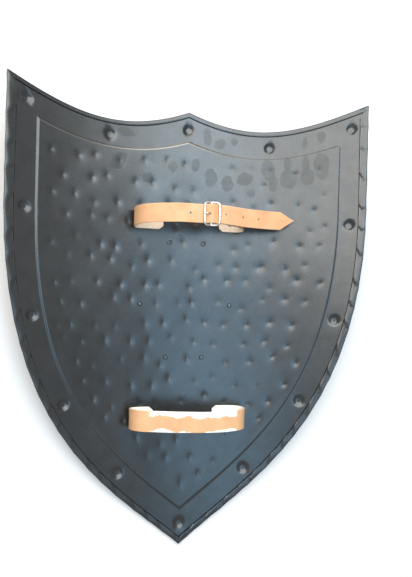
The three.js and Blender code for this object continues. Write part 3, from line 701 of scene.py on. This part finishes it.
def smooth_line(waypoints, step):
    """Points at equal steps along a smooth curve through waypoints: between two of them a
    cubic whose slopes come from the square roots of the distances between neighbours."""
    way = np.asarray(waypoints, dtype=float)
    way = np.vstack((2 * way[0] - way[1], way, 2 * way[-1] - way[-2]))
    gap = np.linalg.norm(np.diff(way, axis=0), axis=1)[:, None] ** 0.5
    slope = np.diff(way, axis=0) / gap
    chord = (way[2:] - way[:-2]) / (gap[1:] + gap[:-1])
    tangent = slope[:-1] - chord + slope[1:]
    t = np.linspace(0, 1, 40, endpoint=False)[None, :, None]
    start, end, width = way[1:-2, None], way[2:-1, None], gap[1:-1, None]
    leave, arrive = tangent[:-1, None] * width, tangent[1:, None] * width
    curve = (start + leave * t + (3 * (end - start) - 2 * leave - arrive) * t**2
             + (2 * (start - end) + leave + arrive) * t**3)
    curve = np.vstack((curve.reshape(-1, 3), way[-2]))
    lengths = np.concatenate(([0], np.cumsum(np.linalg.norm(np.diff(curve, axis=0), axis=1))))
    at = np.linspace(0, lengths[-1], round(lengths[-1] / step) + 1)
    return read_line(at, lengths, curve), at


def distance_at(line, at, x, low, high):
    """Distance along a strap's line where it passes x, looked for between two distances."""
    near = np.where((at >= low) & (at <= high), np.abs(line[:, 0] - x), 1.0)
    return at[np.argmin(near)]


def outward(points, quads, triangles):
    """The faces, turned over if the closed surface that they make has a negative volume."""
    volume = 0
    for faces in (quads, triangles):
        corners = points[faces]
        for k in range(1, faces.shape[1] - 1):
            volume += np.einsum("ij,ij->", corners[:, 0], np.cross(corners[:, k], corners[:, k + 1]))
    return (quads, triangles) if volume > 0 else (quads[:, ::-1], triangles[:, ::-1])


def add_map(piece, name, places):
    """A flat map of a piece, in metres, from a pair of numbers at each point."""
    layer = piece.data.uv_layers.new(name=name)
    corners = np.zeros(len(piece.data.loops), dtype=np.int32)
    piece.data.loops.foreach_get("vertex_index", corners)
    layer.data.foreach_set("uv", places[corners].astype(np.float32).ravel())


def leather_band(name, line, at, thickness, half_width, holes, seed, flesh_up=False):
    """A band along a line: at each step across it, an upper and a lower surface half the
    thickness from the middle, which thins to nothing in a rounded edge. A hole is a block of
    cells left out, whose edge is drawn to a circle. Holes are (distance, radius, stretch).
    The upper surface is the grain side, unless flesh_up."""
    draw = np.random.default_rng(seed)
    edge = np.array([0, 0.00012, 0.0004, 0.0009])
    widest = half_width(at).max()
    inner = np.linspace(-widest + 0.0018, widest - 0.0018, round((widest - 0.0018) / 0.00055) + 1)
    across = np.concatenate((-widest + edge, inner, (widest - edge)[::-1]))
    columns, rows = len(across), len(at)
    wander = np.cumsum(draw.normal(0, 0.00004, rows))
    wander = np.convolve(wander - np.linspace(wander[0], wander[-1], rows), np.ones(9) / 9, "same")
    halves = half_width(at)[:, None]
    straight = across / widest * halves
    u, v = np.repeat(at[:, None], columns, axis=1), straight + wander[:, None]
    row, column = np.indices((rows, columns))
    blocks = []
    for distance, radius, stretch in holes:
        i = int(np.argmin(np.abs(at - distance)))
        j = columns // 2
        du, dv = row - i, column - j
        far = np.maximum(np.abs(du), np.abs(dv))
        pull = np.interp(far, [2, 3, 4, 6], [1, 0.5, 0.2, 0])
        angle = np.arctan2(dv, du)
        reach = radius * far / 2
        u = u + pull * (at[i] + stretch * reach * np.cos(angle) - u)
        v = v + pull * (reach * np.sin(angle) - v)
        blocks.append((i - 2, i + 2, j - 2, j + 2))

    side = unit(np.cross(unit(np.gradient(line, axis=0)), (0, 1, 0)))
    middle, out = read_line(u, at, line), read_line(u, at, side)
    middle[..., 1] += v
    inward = halves - np.abs(straight)
    end = np.minimum(at, at[-1] - at)[:, None]
    round_off = np.clip(np.minimum(inward, end + 0.0003) / 0.0009, 0, 1)
    half = thickness / 2 * (1 - (1 - round_off) ** 2.4) ** (1 / 2.4)
    swell = draw.uniform(0, 2 * math.pi, 6)
    uneven = sum(0.00005 * np.sin(k * 60 * u + (k - 2) * 55 * v + swell[k]) for k in range(1, 6))
    upper = middle + out * (half + uneven)[..., None]
    lower = middle + out * (-half + uneven)[..., None]

    top = np.arange(rows * columns).reshape(rows, columns)
    bottom = top + rows * columns
    bottom[:, 0], bottom[:, -1] = top[:, 0], top[:, -1]
    keep = np.ones((rows - 1, columns - 1), dtype=bool)
    for i0, i1, j0, j1 in blocks:
        keep[i0:i1, j0:j1] = False

    quads = [cells(top[:, :-1], top[:, 1:])[keep],
             cells(bottom[:, :-1], bottom[:, 1:])[keep][:, ::-1]]
    for i0, i1, j0, j1 in blocks:
        walk = ([(i0, j) for j in range(j0, j1)] + [(i, j1) for i in range(i0, i1)]
                + [(i1, j) for j in range(j1, j0, -1)] + [(i, j0) for i in range(i1, i0, -1)])
        walk = tuple(np.array(walk).T)
        high, low = top[walk], bottom[walk]
        quads.append(np.stack((high, np.roll(high, -1), np.roll(low, -1), low), axis=1))
    for net_row, flip in ((0, 1), (-1, -1)):
        high, low = top[net_row], bottom[net_row]
        cap = np.stack((high[:-1], low[:-1], low[1:], high[1:]), axis=1)
        quads.append(cap[:, ::flip])
    quads = np.concatenate(quads)
    points = np.concatenate((upper.reshape(-1, 3), lower.reshape(-1, 3)))
    places = np.concatenate((np.stack((u, v), axis=-1).reshape(-1, 2),) * 2)
    flesh = np.repeat((1.0, 0.0) if flesh_up else (0.0, 1.0), rows * columns)
    rim = np.concatenate((1 - round_off.ravel(),) * 2)

    caps = quads[-2 * (columns - 1):]
    pinched = np.array([len(set(face)) < 4 for face in caps])
    triangles = np.array([list(dict.fromkeys(face)) for face in caps[pinched].tolist()])
    quads = np.concatenate((quads[:-2 * (columns - 1)], caps[~pinched]))
    used = np.unique(np.concatenate((quads.ravel(), triangles.ravel())))
    renumber = np.zeros(len(points), dtype=int)
    renumber[used] = np.arange(len(used))
    points, quads, triangles = points[used], renumber[quads], renumber[triangles]
    quads, triangles = outward(points, quads, triangles)
    band = new_piece(name, points, quads, triangles, crease=62)
    add_value(band, "flesh_side", flesh[used])
    add_value(band, "cut_edge", rim[used])
    add_map(band, "along_and_across", places[used])
    return band


def foot_width(width, distance):
    """Half width of a strap near its foot's end, whose two corners are cut off."""
    return width / 2 - 0.8 * np.maximum(0, CHAMFER - distance)


def stretched(coordinates, scale):
    """The coordinates scaled by a factor along each axis."""
    values = {"Vector": coordinates, "Scale": scale}
    return new_node(coordinates, "Mapping", values).outputs["Vector"]


def paint_leather(name, grain_tone, dark_tone, with_painted_highlight):
    """Vegetable-tanned leather: a smooth, finely pored grain side with darker clouds and small
    stains, a pale fibrous flesh side, raw cut edges and, on the grip, near-white bands along the
    grain side's edges and a whiter flesh side, which are painted highlight."""
    material, shader, place = new_material(name)
    flat = new_node(shader, "UVMap", {}, uv_map="along_and_across").outputs["UV"]
    flesh = read_value(shader, "flesh_side")
    rim = read_value(shader, "cut_edge")
    cloud = noise(place, 38.0, 5.0, 0.6)
    grain = ramp(cloud, [(0.30, dark_tone), (0.72, grain_tone)])
    speck = ramp(noise(place, 420.0, 3.0, 0.7), [(0.30, 0.86), (0.46, 1.0)])
    grain = blended(1.0, grain, speck, "MULTIPLY")
    streak = noise(stretched(flat, (30.0, 260.0, 1.0)), 1.0, 4.0, 0.6)
    grain = blended(ramp(streak, [(0.52, 0.0), (0.75, 0.28)]), grain, dark_tone)
    # Painted highlight: near-white bands along the grip's two long edges over the middle of its
    # length.
    if with_painted_highlight:
        across = new_node(shader, "SeparateXYZ", {"Vector": flat}).outputs
        wave = noise(stretched(flat, (22.0, 10.0, 1.0)), 1.0)
        height = calculated("MULTIPLY_ADD", across["Y"], 30.0, wave)
        painted_highlight_bands = ramp(height, [
            (0.0, 1.0), (0.09, 1.0), (0.13, 0.0), (0.69, 0.0), (0.73, 1.0)])
        length = calculated("MULTIPLY", across["X"], 3.0)
        span = ramp(length, [(0.26, 0.0), (0.29, 1.0), (0.665, 1.0), (0.675, 0.0)])
        painted_highlight_bands = blended(1.0, painted_highlight_bands, span, "MULTIPLY")
        grain = blended(painted_highlight_bands, grain, (1.0, 0.96, 0.90))
    fibre = noise(place, 260.0, 6.0, 0.7)
    # On the grip the flesh side is painted whiter: painted highlight.
    pale = ramp(fibre, [(0.3, (0.98, 0.90, 0.80) if with_painted_highlight else (0.88, 0.64, 0.46)),
                              (0.7, (1.0, 0.97, 0.92) if with_painted_highlight else (1.0, 0.84, 0.67))])
    tone = blended(flesh, grain, pale)
    raw = ramp(rim, [(0.45, 0.0), (0.9, 0.65)])
    tone = blended(raw, tone, (0.90, 0.70, 0.50))
    rough = ramp(flesh, [(0.0, 0.52), (1.0, 0.9)])
    set_inputs(shader, {"Base Color": tone, "Roughness": rough, "Specular IOR Level": 0.35})
    pores = noise(place, 1500.0, 3.0, 0.6)
    wrinkles = noise(stretched(flat, (420.0, 120.0, 1.0)), 1.0, 4.0, 0.6)
    bumped(shader, [(pores, 0.00012, 0.35), (wrinkles, 0.0003, 0.30), (fibre, 0.0002, 0.3)])
    return material


tan_leather = paint_leather("tan_leather", (0.81, 0.475, 0.255), (0.68, 0.36, 0.18), False)
# The grip's leather carries painted highlight: near-white edge bands and a whiter flesh side.
grip_leather_with_painted_highlight = paint_leather("grip_leather", (0.82, 0.485, 0.26), (0.70, 0.385, 0.195), True)

# The long half of the arm strap: its foot turns up and back over itself, the band passes
# under, over and under the buckle's three bars and slopes down to its pointed end.
over_bar = bar_z + 0.0061
under_rim = bar_z + BUCKLE_CRANK - BAR_RADIUS - CLEARANCE - LEATHER / 2
bar_x = buckle.x
long_line, long_at = smooth_line([
    *lying((-0.0375, -0.050, -0.063, -0.075), arm_y, LEATHER),
    *raised(arm_y, (
        (-0.0815, 0.0003, 0.0175), (-0.0843, 0.002, 0.028), (-0.0803, 0.0038, 0.042),
        (-0.071, 0.0052, 0.054), (-0.054, 0.0062, 0.064))),
    (-0.025, lean_y, 0.0705),
    (bar_x - BUCKLE_HALF_WIDTH - 0.003, lean_y, under_rim - 0.0005),
    (bar_x - BUCKLE_HALF_WIDTH, lean_y, under_rim - 0.0004),
    (bar_x, lean_y, over_bar),
    (bar_x + BUCKLE_HALF_WIDTH, lean_y, under_rim - 0.0004),
    (bar_x + BUCKLE_HALF_WIDTH + 0.003, lean_y, under_rim - 0.0005),
    *raised(lean_y, (
        (0.060, -0.0016, 0.0675), (0.090, -0.003, 0.060), (0.125, -0.0034, 0.049),
        (0.150, -0.0022, 0.0435), (0.1625, -0.0008, 0.0415))),
], 0.0010)


def long_width(distance):
    """Half width: the foot's cut corners, the band, and the straight taper to the point."""
    left = long_at[-1] - distance
    taper = np.maximum(0.0006, ARM_WIDTH / 2 * np.minimum(1, left / POINT_LENGTH))
    return np.minimum(taper, foot_width(ARM_WIDTH, distance))


pin_at = distance_at(long_line, long_at, bar_x - 0.005, 0.150, long_at[-1])
long_holes = [(distance_at(long_line, long_at, -0.063, 0.010, 0.045), RIVET_BORE, 1.0)]
for k in range(-1, 4):
    pinned = k == 0  # the tongue has drawn this hole long
    long_holes.append((pin_at + k * BELT_HOLE_PITCH,
                       BELT_HOLE_RADIUS + (0.0004 if pinned else 0), 1.9 if pinned else 1.0))
long_strap = leather_band("tan_long_strap", long_line, long_at, LEATHER, long_width, long_holes, 3)
fit(long_strap, tan_leather, "arm_strap_long")

# The short half rises from its foot, passes over and round the middle bar and lies back
# along its own underside, where one small rivet holds it. A slot lets the tongue through.
WRAP_RADIUS = BAR_RADIUS + CLEARANCE + THIN_LEATHER / 2
turns = np.radians([75, 105, 142, 180, 218, 255, 280])
wrap = [(bar_x + WRAP_RADIUS * math.cos(t), lean_y, bar_z + WRAP_RADIUS * math.sin(t))
        for t in turns]
short_line, short_at = smooth_line([
    *lying((0.051, 0.060, 0.0685, 0.074), arm_y, THIN_LEATHER),
    *raised(arm_y, (
        (0.0805, 0, 0.0165), (0.084, 0.0005, 0.026), (0.0808, 0.002, 0.038),
        (0.070, 0.0045, 0.050), (0.0565, 0.006, bar_z - 0.010))),
    (bar_x + 0.021, lean_y, bar_z - 0.0044),
    (bar_x + 0.012, lean_y, bar_z - 0.0020),
    (bar_x + 0.0075, lean_y, bar_z - 0.0006),
    *wrap,
    (bar_x + 0.012, lean_y, bar_z - 0.0048),
    (bar_x + 0.021, lean_y, bar_z - 0.0072),
    (bar_x + 0.028, lean_y, bar_z - 0.0093),
], 0.0008)
fold_x = middle_of("fold_rivet").x
short_holes = [
    (distance_at(short_line, short_at, 0.0685, 0.005, 0.035), RIVET_BORE, 1.0),
    (distance_at(short_line, short_at, fold_x, 0.06, 0.6 * short_at[-1]), 0.0017, 1.0),
    (distance_at(short_line, short_at, bar_x - WRAP_RADIUS, 0.06, short_at[-1]), 0.0027, 2.3),
    (distance_at(short_line, short_at, fold_x, short_at[-1] - 0.016, short_at[-1]), 0.0017, 1.0),
]
short_strap = leather_band(
    "tan_short_strap", short_line, short_at, THIN_LEATHER,
    lambda distance: foot_width(ARM_WIDTH, distance), short_holes, 5, flesh_up=True,
)
fit(short_strap, tan_leather, "arm_strap_short")

# The grip: one wide band whose two ends turn under it.
grip_line, grip_at = smooth_line([
    *lying((-0.047, -0.056, -0.064, -0.073), grip_y, LEATHER),
    *raised(grip_y, (
        (-0.081, 0.0005, 0.0175), (-0.0846, 0.0014, 0.029), (-0.081, 0.002, 0.043),
        (-0.070, 0.002, 0.054), (-0.040, 0.0017, 0.062), (0.0, 0.0004, 0.064),
        (0.043, -0.0006, 0.062), (0.076, -0.0003, 0.054), (0.0878, 0, 0.043),
        (0.0912, 0, 0.029), (0.086, 0, 0.0175))),
    *lying((0.047, 0.056, 0.064, 0.074), grip_y, LEATHER)[::-1],
], 0.0011)
grip_bore = distance_at(grip_line, grip_at, -0.064, 0.005, 0.035)
grip_strap = leather_band(
    "tan_grip", grip_line, grip_at, LEATHER,
    lambda distance: np.minimum(foot_width(GRIP_WIDTH, distance),
                                foot_width(GRIP_WIDTH, grip_at[-1] - distance)),
    [(grip_bore, RIVET_BORE, 1.0), (grip_at[-1] - grip_bore, RIVET_BORE, 1.0)], 8,
)
fit(grip_strap, grip_leather_with_painted_highlight, "grip_strap")

# ---- buckle ---------------------------------------------------------------------------
# A rounded frame of bright nickel-plated wire, whose two rails along the strap dip to a
# straight middle bar, and a tongue whose flattened end is curled round that bar.


def tube(rings, ends=None):
    """A closed surface through rings of points: each end is a fan of triangles round an end
    point or, without end points, the last ring is joined to the first."""
    count, turns = rings.shape[:2]
    number = np.arange(count * turns).reshape(count, turns)
    points = rings.reshape(-1, 3)
    triangles = np.zeros((0, 3), dtype=int)
    if ends is None:
        number = np.vstack((number, number[:1]))
    else:
        start = np.full(turns, len(points))
        points = np.vstack((points, ends))
        triangles = np.concatenate((
            np.stack((start, np.roll(number[0], -1), number[0]), axis=1),
            np.stack((start + 1, number[-1], np.roll(number[-1], -1)), axis=1),
        ))
    quads = cells(number, np.roll(number, -1, axis=1)).reshape(-1, 4)
    return (points, *outward(points, quads, triangles))


def wire(path, radii, closed, turns=20):
    """A round wire along a path: a circle in the plane across it at every point, drawn out
    by a pair of radii. An open wire's ends are closed by a shallow dome."""
    if closed:
        along = np.roll(path, -1, axis=0) - np.roll(path, 1, axis=0)
    else:
        along = np.gradient(path, axis=0)
    along = unit(along)
    side = unit(np.cross(along, (0.0, 0.0, 1.0) if closed else (0.0, 1.0, 0.0)))
    up = np.cross(side, along)
    angle = np.linspace(0, 2 * math.pi, turns, endpoint=False)[None, :, None]
    radii = np.broadcast_to(radii, (len(path), 2))
    rings = (path[:, None] + radii[:, 0, None, None] * np.cos(angle) * side[:, None]
             + radii[:, 1, None, None] * np.sin(angle) * up[:, None])
    if closed:
        return tube(rings)
    dome = np.array([[-radii[0, 0]], [radii[-1, 0]]])
    return tube(rings, path[[0, -1]] + 0.4 * along[[0, -1]] * dome)


def joined(first, second):
    """Two closed shells as one set of points and faces."""
    shifts = (0, len(first[0]), len(first[0]))
    return [np.concatenate((one, other + shift))
            for one, other, shift in zip(first, second, shifts)]


corner_radius = 0.0042
arc = np.linspace(0, math.pi / 2, 9)
frame_path = []
for quarter, (right, up) in enumerate(((1, 1), (-1, 1), (-1, -1), (1, -1))):
    middle = np.array((right * (BUCKLE_HALF_WIDTH - corner_radius),
                       up * (BUCKLE_HALF_HEIGHT - corner_radius)))
    turned = arc + quarter * math.pi / 2
    frame_path.append(middle + corner_radius * np.stack((np.cos(turned), np.sin(turned)), axis=1))
frame_path = np.vstack(frame_path)
frame_path = spaced(np.vstack((frame_path, frame_path[:1])), 121)[:-1]
dip = bar_z + BUCKLE_CRANK * np.minimum(1, (frame_path[:, 0] / BUCKLE_HALF_WIDTH) ** 2)
frame_path = np.column_stack((bar_x + frame_path[:, 0], lean_y + frame_path[:, 1], dip))
frame_wire = wire(frame_path, (BAR_RADIUS, BAR_RADIUS), True)
bar_along = np.linspace(-BUCKLE_HALF_HEIGHT, BUCKLE_HALF_HEIGHT, 24)
bar_angle = np.linspace(0, 2 * math.pi, 20, endpoint=False)

# The middle bar: circles of one radius along Y, closed at both ends inside the rails.
bar_rings = np.stack(np.broadcast_arrays(
    bar_x + BAR_RADIUS * np.cos(bar_angle)[None], lean_y + bar_along[:, None],
    bar_z + BAR_RADIUS * np.sin(bar_angle)[None],
), axis=-1)
middle_bar = tube(bar_rings, [(bar_x, lean_y + y, bar_z) for y in (bar_along[0], bar_along[-1])])


def paint_nickel():
    """Bright plated wire: faint patches of dullness and fine scratches."""
    material, shader, place = new_material("bright_nickel")
    dull = ramp(noise(place, 160.0, 5.0, 0.65), [(0.35, 0.16), (0.75, 0.36)])
    set_inputs(shader, {
        "Base Color": (0.86, 0.84, 0.80, 1), "Metallic": 1.0, "Roughness": dull,
    })
    scratch = noise(stretched(place, (2200.0, 300.0, 900.0)), 1.0, 3.0, 0.6)
    bumped(shader, [(scratch, 0.00004, 0.4)])
    return material


bright_nickel = paint_nickel()
buckle_wire = new_piece("nickel_buckle", *joined(frame_wire, middle_bar), crease=50)
fit(buckle_wire, bright_nickel, "buckle_frame")

CURL_RADIUS = BAR_RADIUS + CLEARANCE + 0.0008
curl = np.radians([-130, -90, -50, -10, 30, 62, 90, 112])
rest = BUCKLE_CRANK + BAR_RADIUS + CLEARANCE + 0.0012
tongue_way = [(bar_x + CURL_RADIUS * math.cos(t), lean_y, bar_z + CURL_RADIUS * math.sin(t))
              for t in curl]
tongue_way += [(bar_x + x, lean_y, bar_z + z) for x, z in (
    (-0.0030, 0.0044), (-0.0052, 0.0066), (-0.0076, rest - 0.0001), (-0.0112, rest),
    (-0.0140, rest - 0.0005))]
tongue_line, tongue_at = smooth_line(tongue_way, 0.0005)
flat_share = 1 - smooth(tongue_at, 0.0105, 0.0150)
tip_share = smooth(tongue_at[-1] - tongue_at, -0.0004, 0.0012)
tongue_radii = np.stack((0.00115 - 0.00035 * flat_share, 0.00115 + 0.00085 * flat_share), axis=1)
tongue = new_piece("nickel_tongue", *wire(tongue_line, tongue_radii * tip_share[:, None], False))
fit(tongue, bright_nickel, "buckle_tongue")

# ---- rivets ---------------------------------------------------------------------------
# Blackened steel rivets with low domed heads on the front. Four hold the straps' feet over
# a small washer, six fill holes in the field, and a bright one closes the short strap's fold.


def turned_form(profile, turns=36):
    """A closed form turned about an axis from a profile of (radius, height) whose ends are
    on the axis. Each corner of the profile is cut twice, which rounds it."""
    line = np.asarray(profile, dtype=float)
    for _ in range(2):
        near, far = 0.8 * line[:-1] + 0.2 * line[1:], 0.2 * line[:-1] + 0.8 * line[1:]
        line = np.vstack((line[:1], np.stack((near, far), axis=1).reshape(-1, 2)[1:-1], line[-1:]))
    body = line[1:-1]
    angle = np.linspace(0, 2 * math.pi, turns, endpoint=False)
    rings = np.stack(np.broadcast_arrays(
        body[:, 0, None] * np.cos(angle), body[:, 0, None] * np.sin(angle), body[:, 1, None]
    ), axis=-1)
    return tube(rings, [(0, 0, line[0, 1]), (0, 0, line[-1, 1])])


def stand_on_plate(points, node):
    """Moves a form made about Z onto the plate, square to its surface, at a node's place."""
    place = middle_of(node)
    lean = math.asin(place.x / CURVE_RADIUS)
    out = np.array((-math.sin(lean), 0, math.cos(lean)))
    across = np.array((math.cos(lean), 0, math.sin(lean)))
    base = on_sheet(np.array(CURVE_RADIUS * lean), np.array(place.y), 0.0)
    return (base + points[:, :1] * across + points[:, 1:2] * np.array((0, 1.0, 0))
            + points[:, 2:] * out)


def paint_rivets():
    """Blackened steel, rubbed brighter in patches, and near black where a point's value is set:
    painted shade in the hollow rivets' bores, and a dark ring on the rim of the solid ones' heads.
    """
    material, shader, place = new_material("rubbed_rivet_steel")
    rub = noise(place, 320.0, 4.0, 0.6)
    tone = ramp(rub, [(0.35, (0.09, 0.095, 0.10)), (0.75, (0.22, 0.22, 0.215))])
    tone = blended(read_value(shader, "soot_and_painted_shade"), tone, (0.004, 0.004, 0.004))
    rough = ramp(rub, [(0.3, 0.36), (0.7, 0.5)])
    set_inputs(shader, {"Base Color": tone, "Roughness": rough, "Metallic": 0.9})
    bumped(shader, [(noise(place, 900.0, 2.0), 0.00006, 0.4)])
    return material


rivet_steel = paint_rivets()


def add_rivet(node, profile, material, black=(1.0, 1.0)):
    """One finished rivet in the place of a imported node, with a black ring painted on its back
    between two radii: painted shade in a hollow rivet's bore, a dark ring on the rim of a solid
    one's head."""
    points, quads, triangles = turned_form(profile)
    rivet = new_piece("turned_" + node, stand_on_plate(points, node), quads, triangles, crease=50)
    radius = np.hypot(points[:, 0], points[:, 1])
    # Painted black between the two radii on the back: painted shade in a hollow rivet's bore, a dark
    # ring on a solid one's head.
    add_value(rivet, "soot_and_painted_shade", (radius >= black[0]) & (radius <= black[1])
              & (points[:, 2] > under_plate))
    fit(rivet, material, node)


under_plate = -SHEET / 2 - 0.0003
for node, leather in (("arm_rivet_left", LEATHER), ("arm_rivet_right", THIN_LEATHER),
                      ("grip_rivet_left", LEATHER), ("grip_rivet_right", LEATHER)):
    collar = UNDER + leather + 0.0003
    add_rivet(node, [
        (0, under_plate - 0.0018), (0.0022, under_plate - 0.0017), (0.0041, under_plate - 0.0009),
        (0.0050, under_plate), (0.0020, under_plate), (0.0020, collar), (0.0046, collar),
        (0.0046, collar + 0.0007), (0.0026, collar + 0.0008), (0.0021, collar + 0.0016),
        (0.0012, collar + 0.0019), (0, collar + 0.0019),
    ], rivet_steel)

for k in range(1, 7):
    collar = SHEET / 2 + 0.0002
    if k <= 2:  # tubular, open at the back
        back = [(0.0046, collar), (0.0046, collar + 0.0006), (0.0034, collar + 0.0011),
                (0.0025, collar + 0.0007), (0.0024, -0.0004), (0, -0.0004)]
    else:
        back = [(0.0033, collar), (0.0033, collar + 0.0005), (0.0026, collar + 0.0008),
                (0.0022, collar + 0.0007), (0.0020, collar + 0.0010), (0, collar + 0.0010)]
    # The hollow rivets' bores and inner lips are painted black, painted shade in the recess; the
    # solid ones get a dark ring on the rim of the head.
    add_rivet(f"field_rivet_{k}", [
        (0, under_plate - 0.0012), (0.0018, under_plate - 0.0011), (0.0032, under_plate - 0.0005),
        (0.0036, under_plate), (0.0020, under_plate), (0.0020, collar), *back,
    ], rivet_steel, (0.0, 0.0030) if k <= 2 else (0.0024, 0.0034))

fold_low, fold_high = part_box("fold_rivet")
points, quads, triangles = turned_form([
    (0, fold_low.z), (0.0020, fold_low.z + 0.0001), (0.0028, fold_low.z + 0.0006),
    (0.0014, fold_low.z + 0.0009), (0.0014, fold_high.z - 0.0006), (0.0028, fold_high.z - 0.0005),
    (0.0020, fold_high.z), (0, fold_high.z),
])
fold_rivet = new_piece("turned_fold_rivet", points + np.array((fold_x, lean_y, 0)), quads,
                       triangles, crease=50)
fit(fold_rivet, bright_nickel, "fold_rivet")
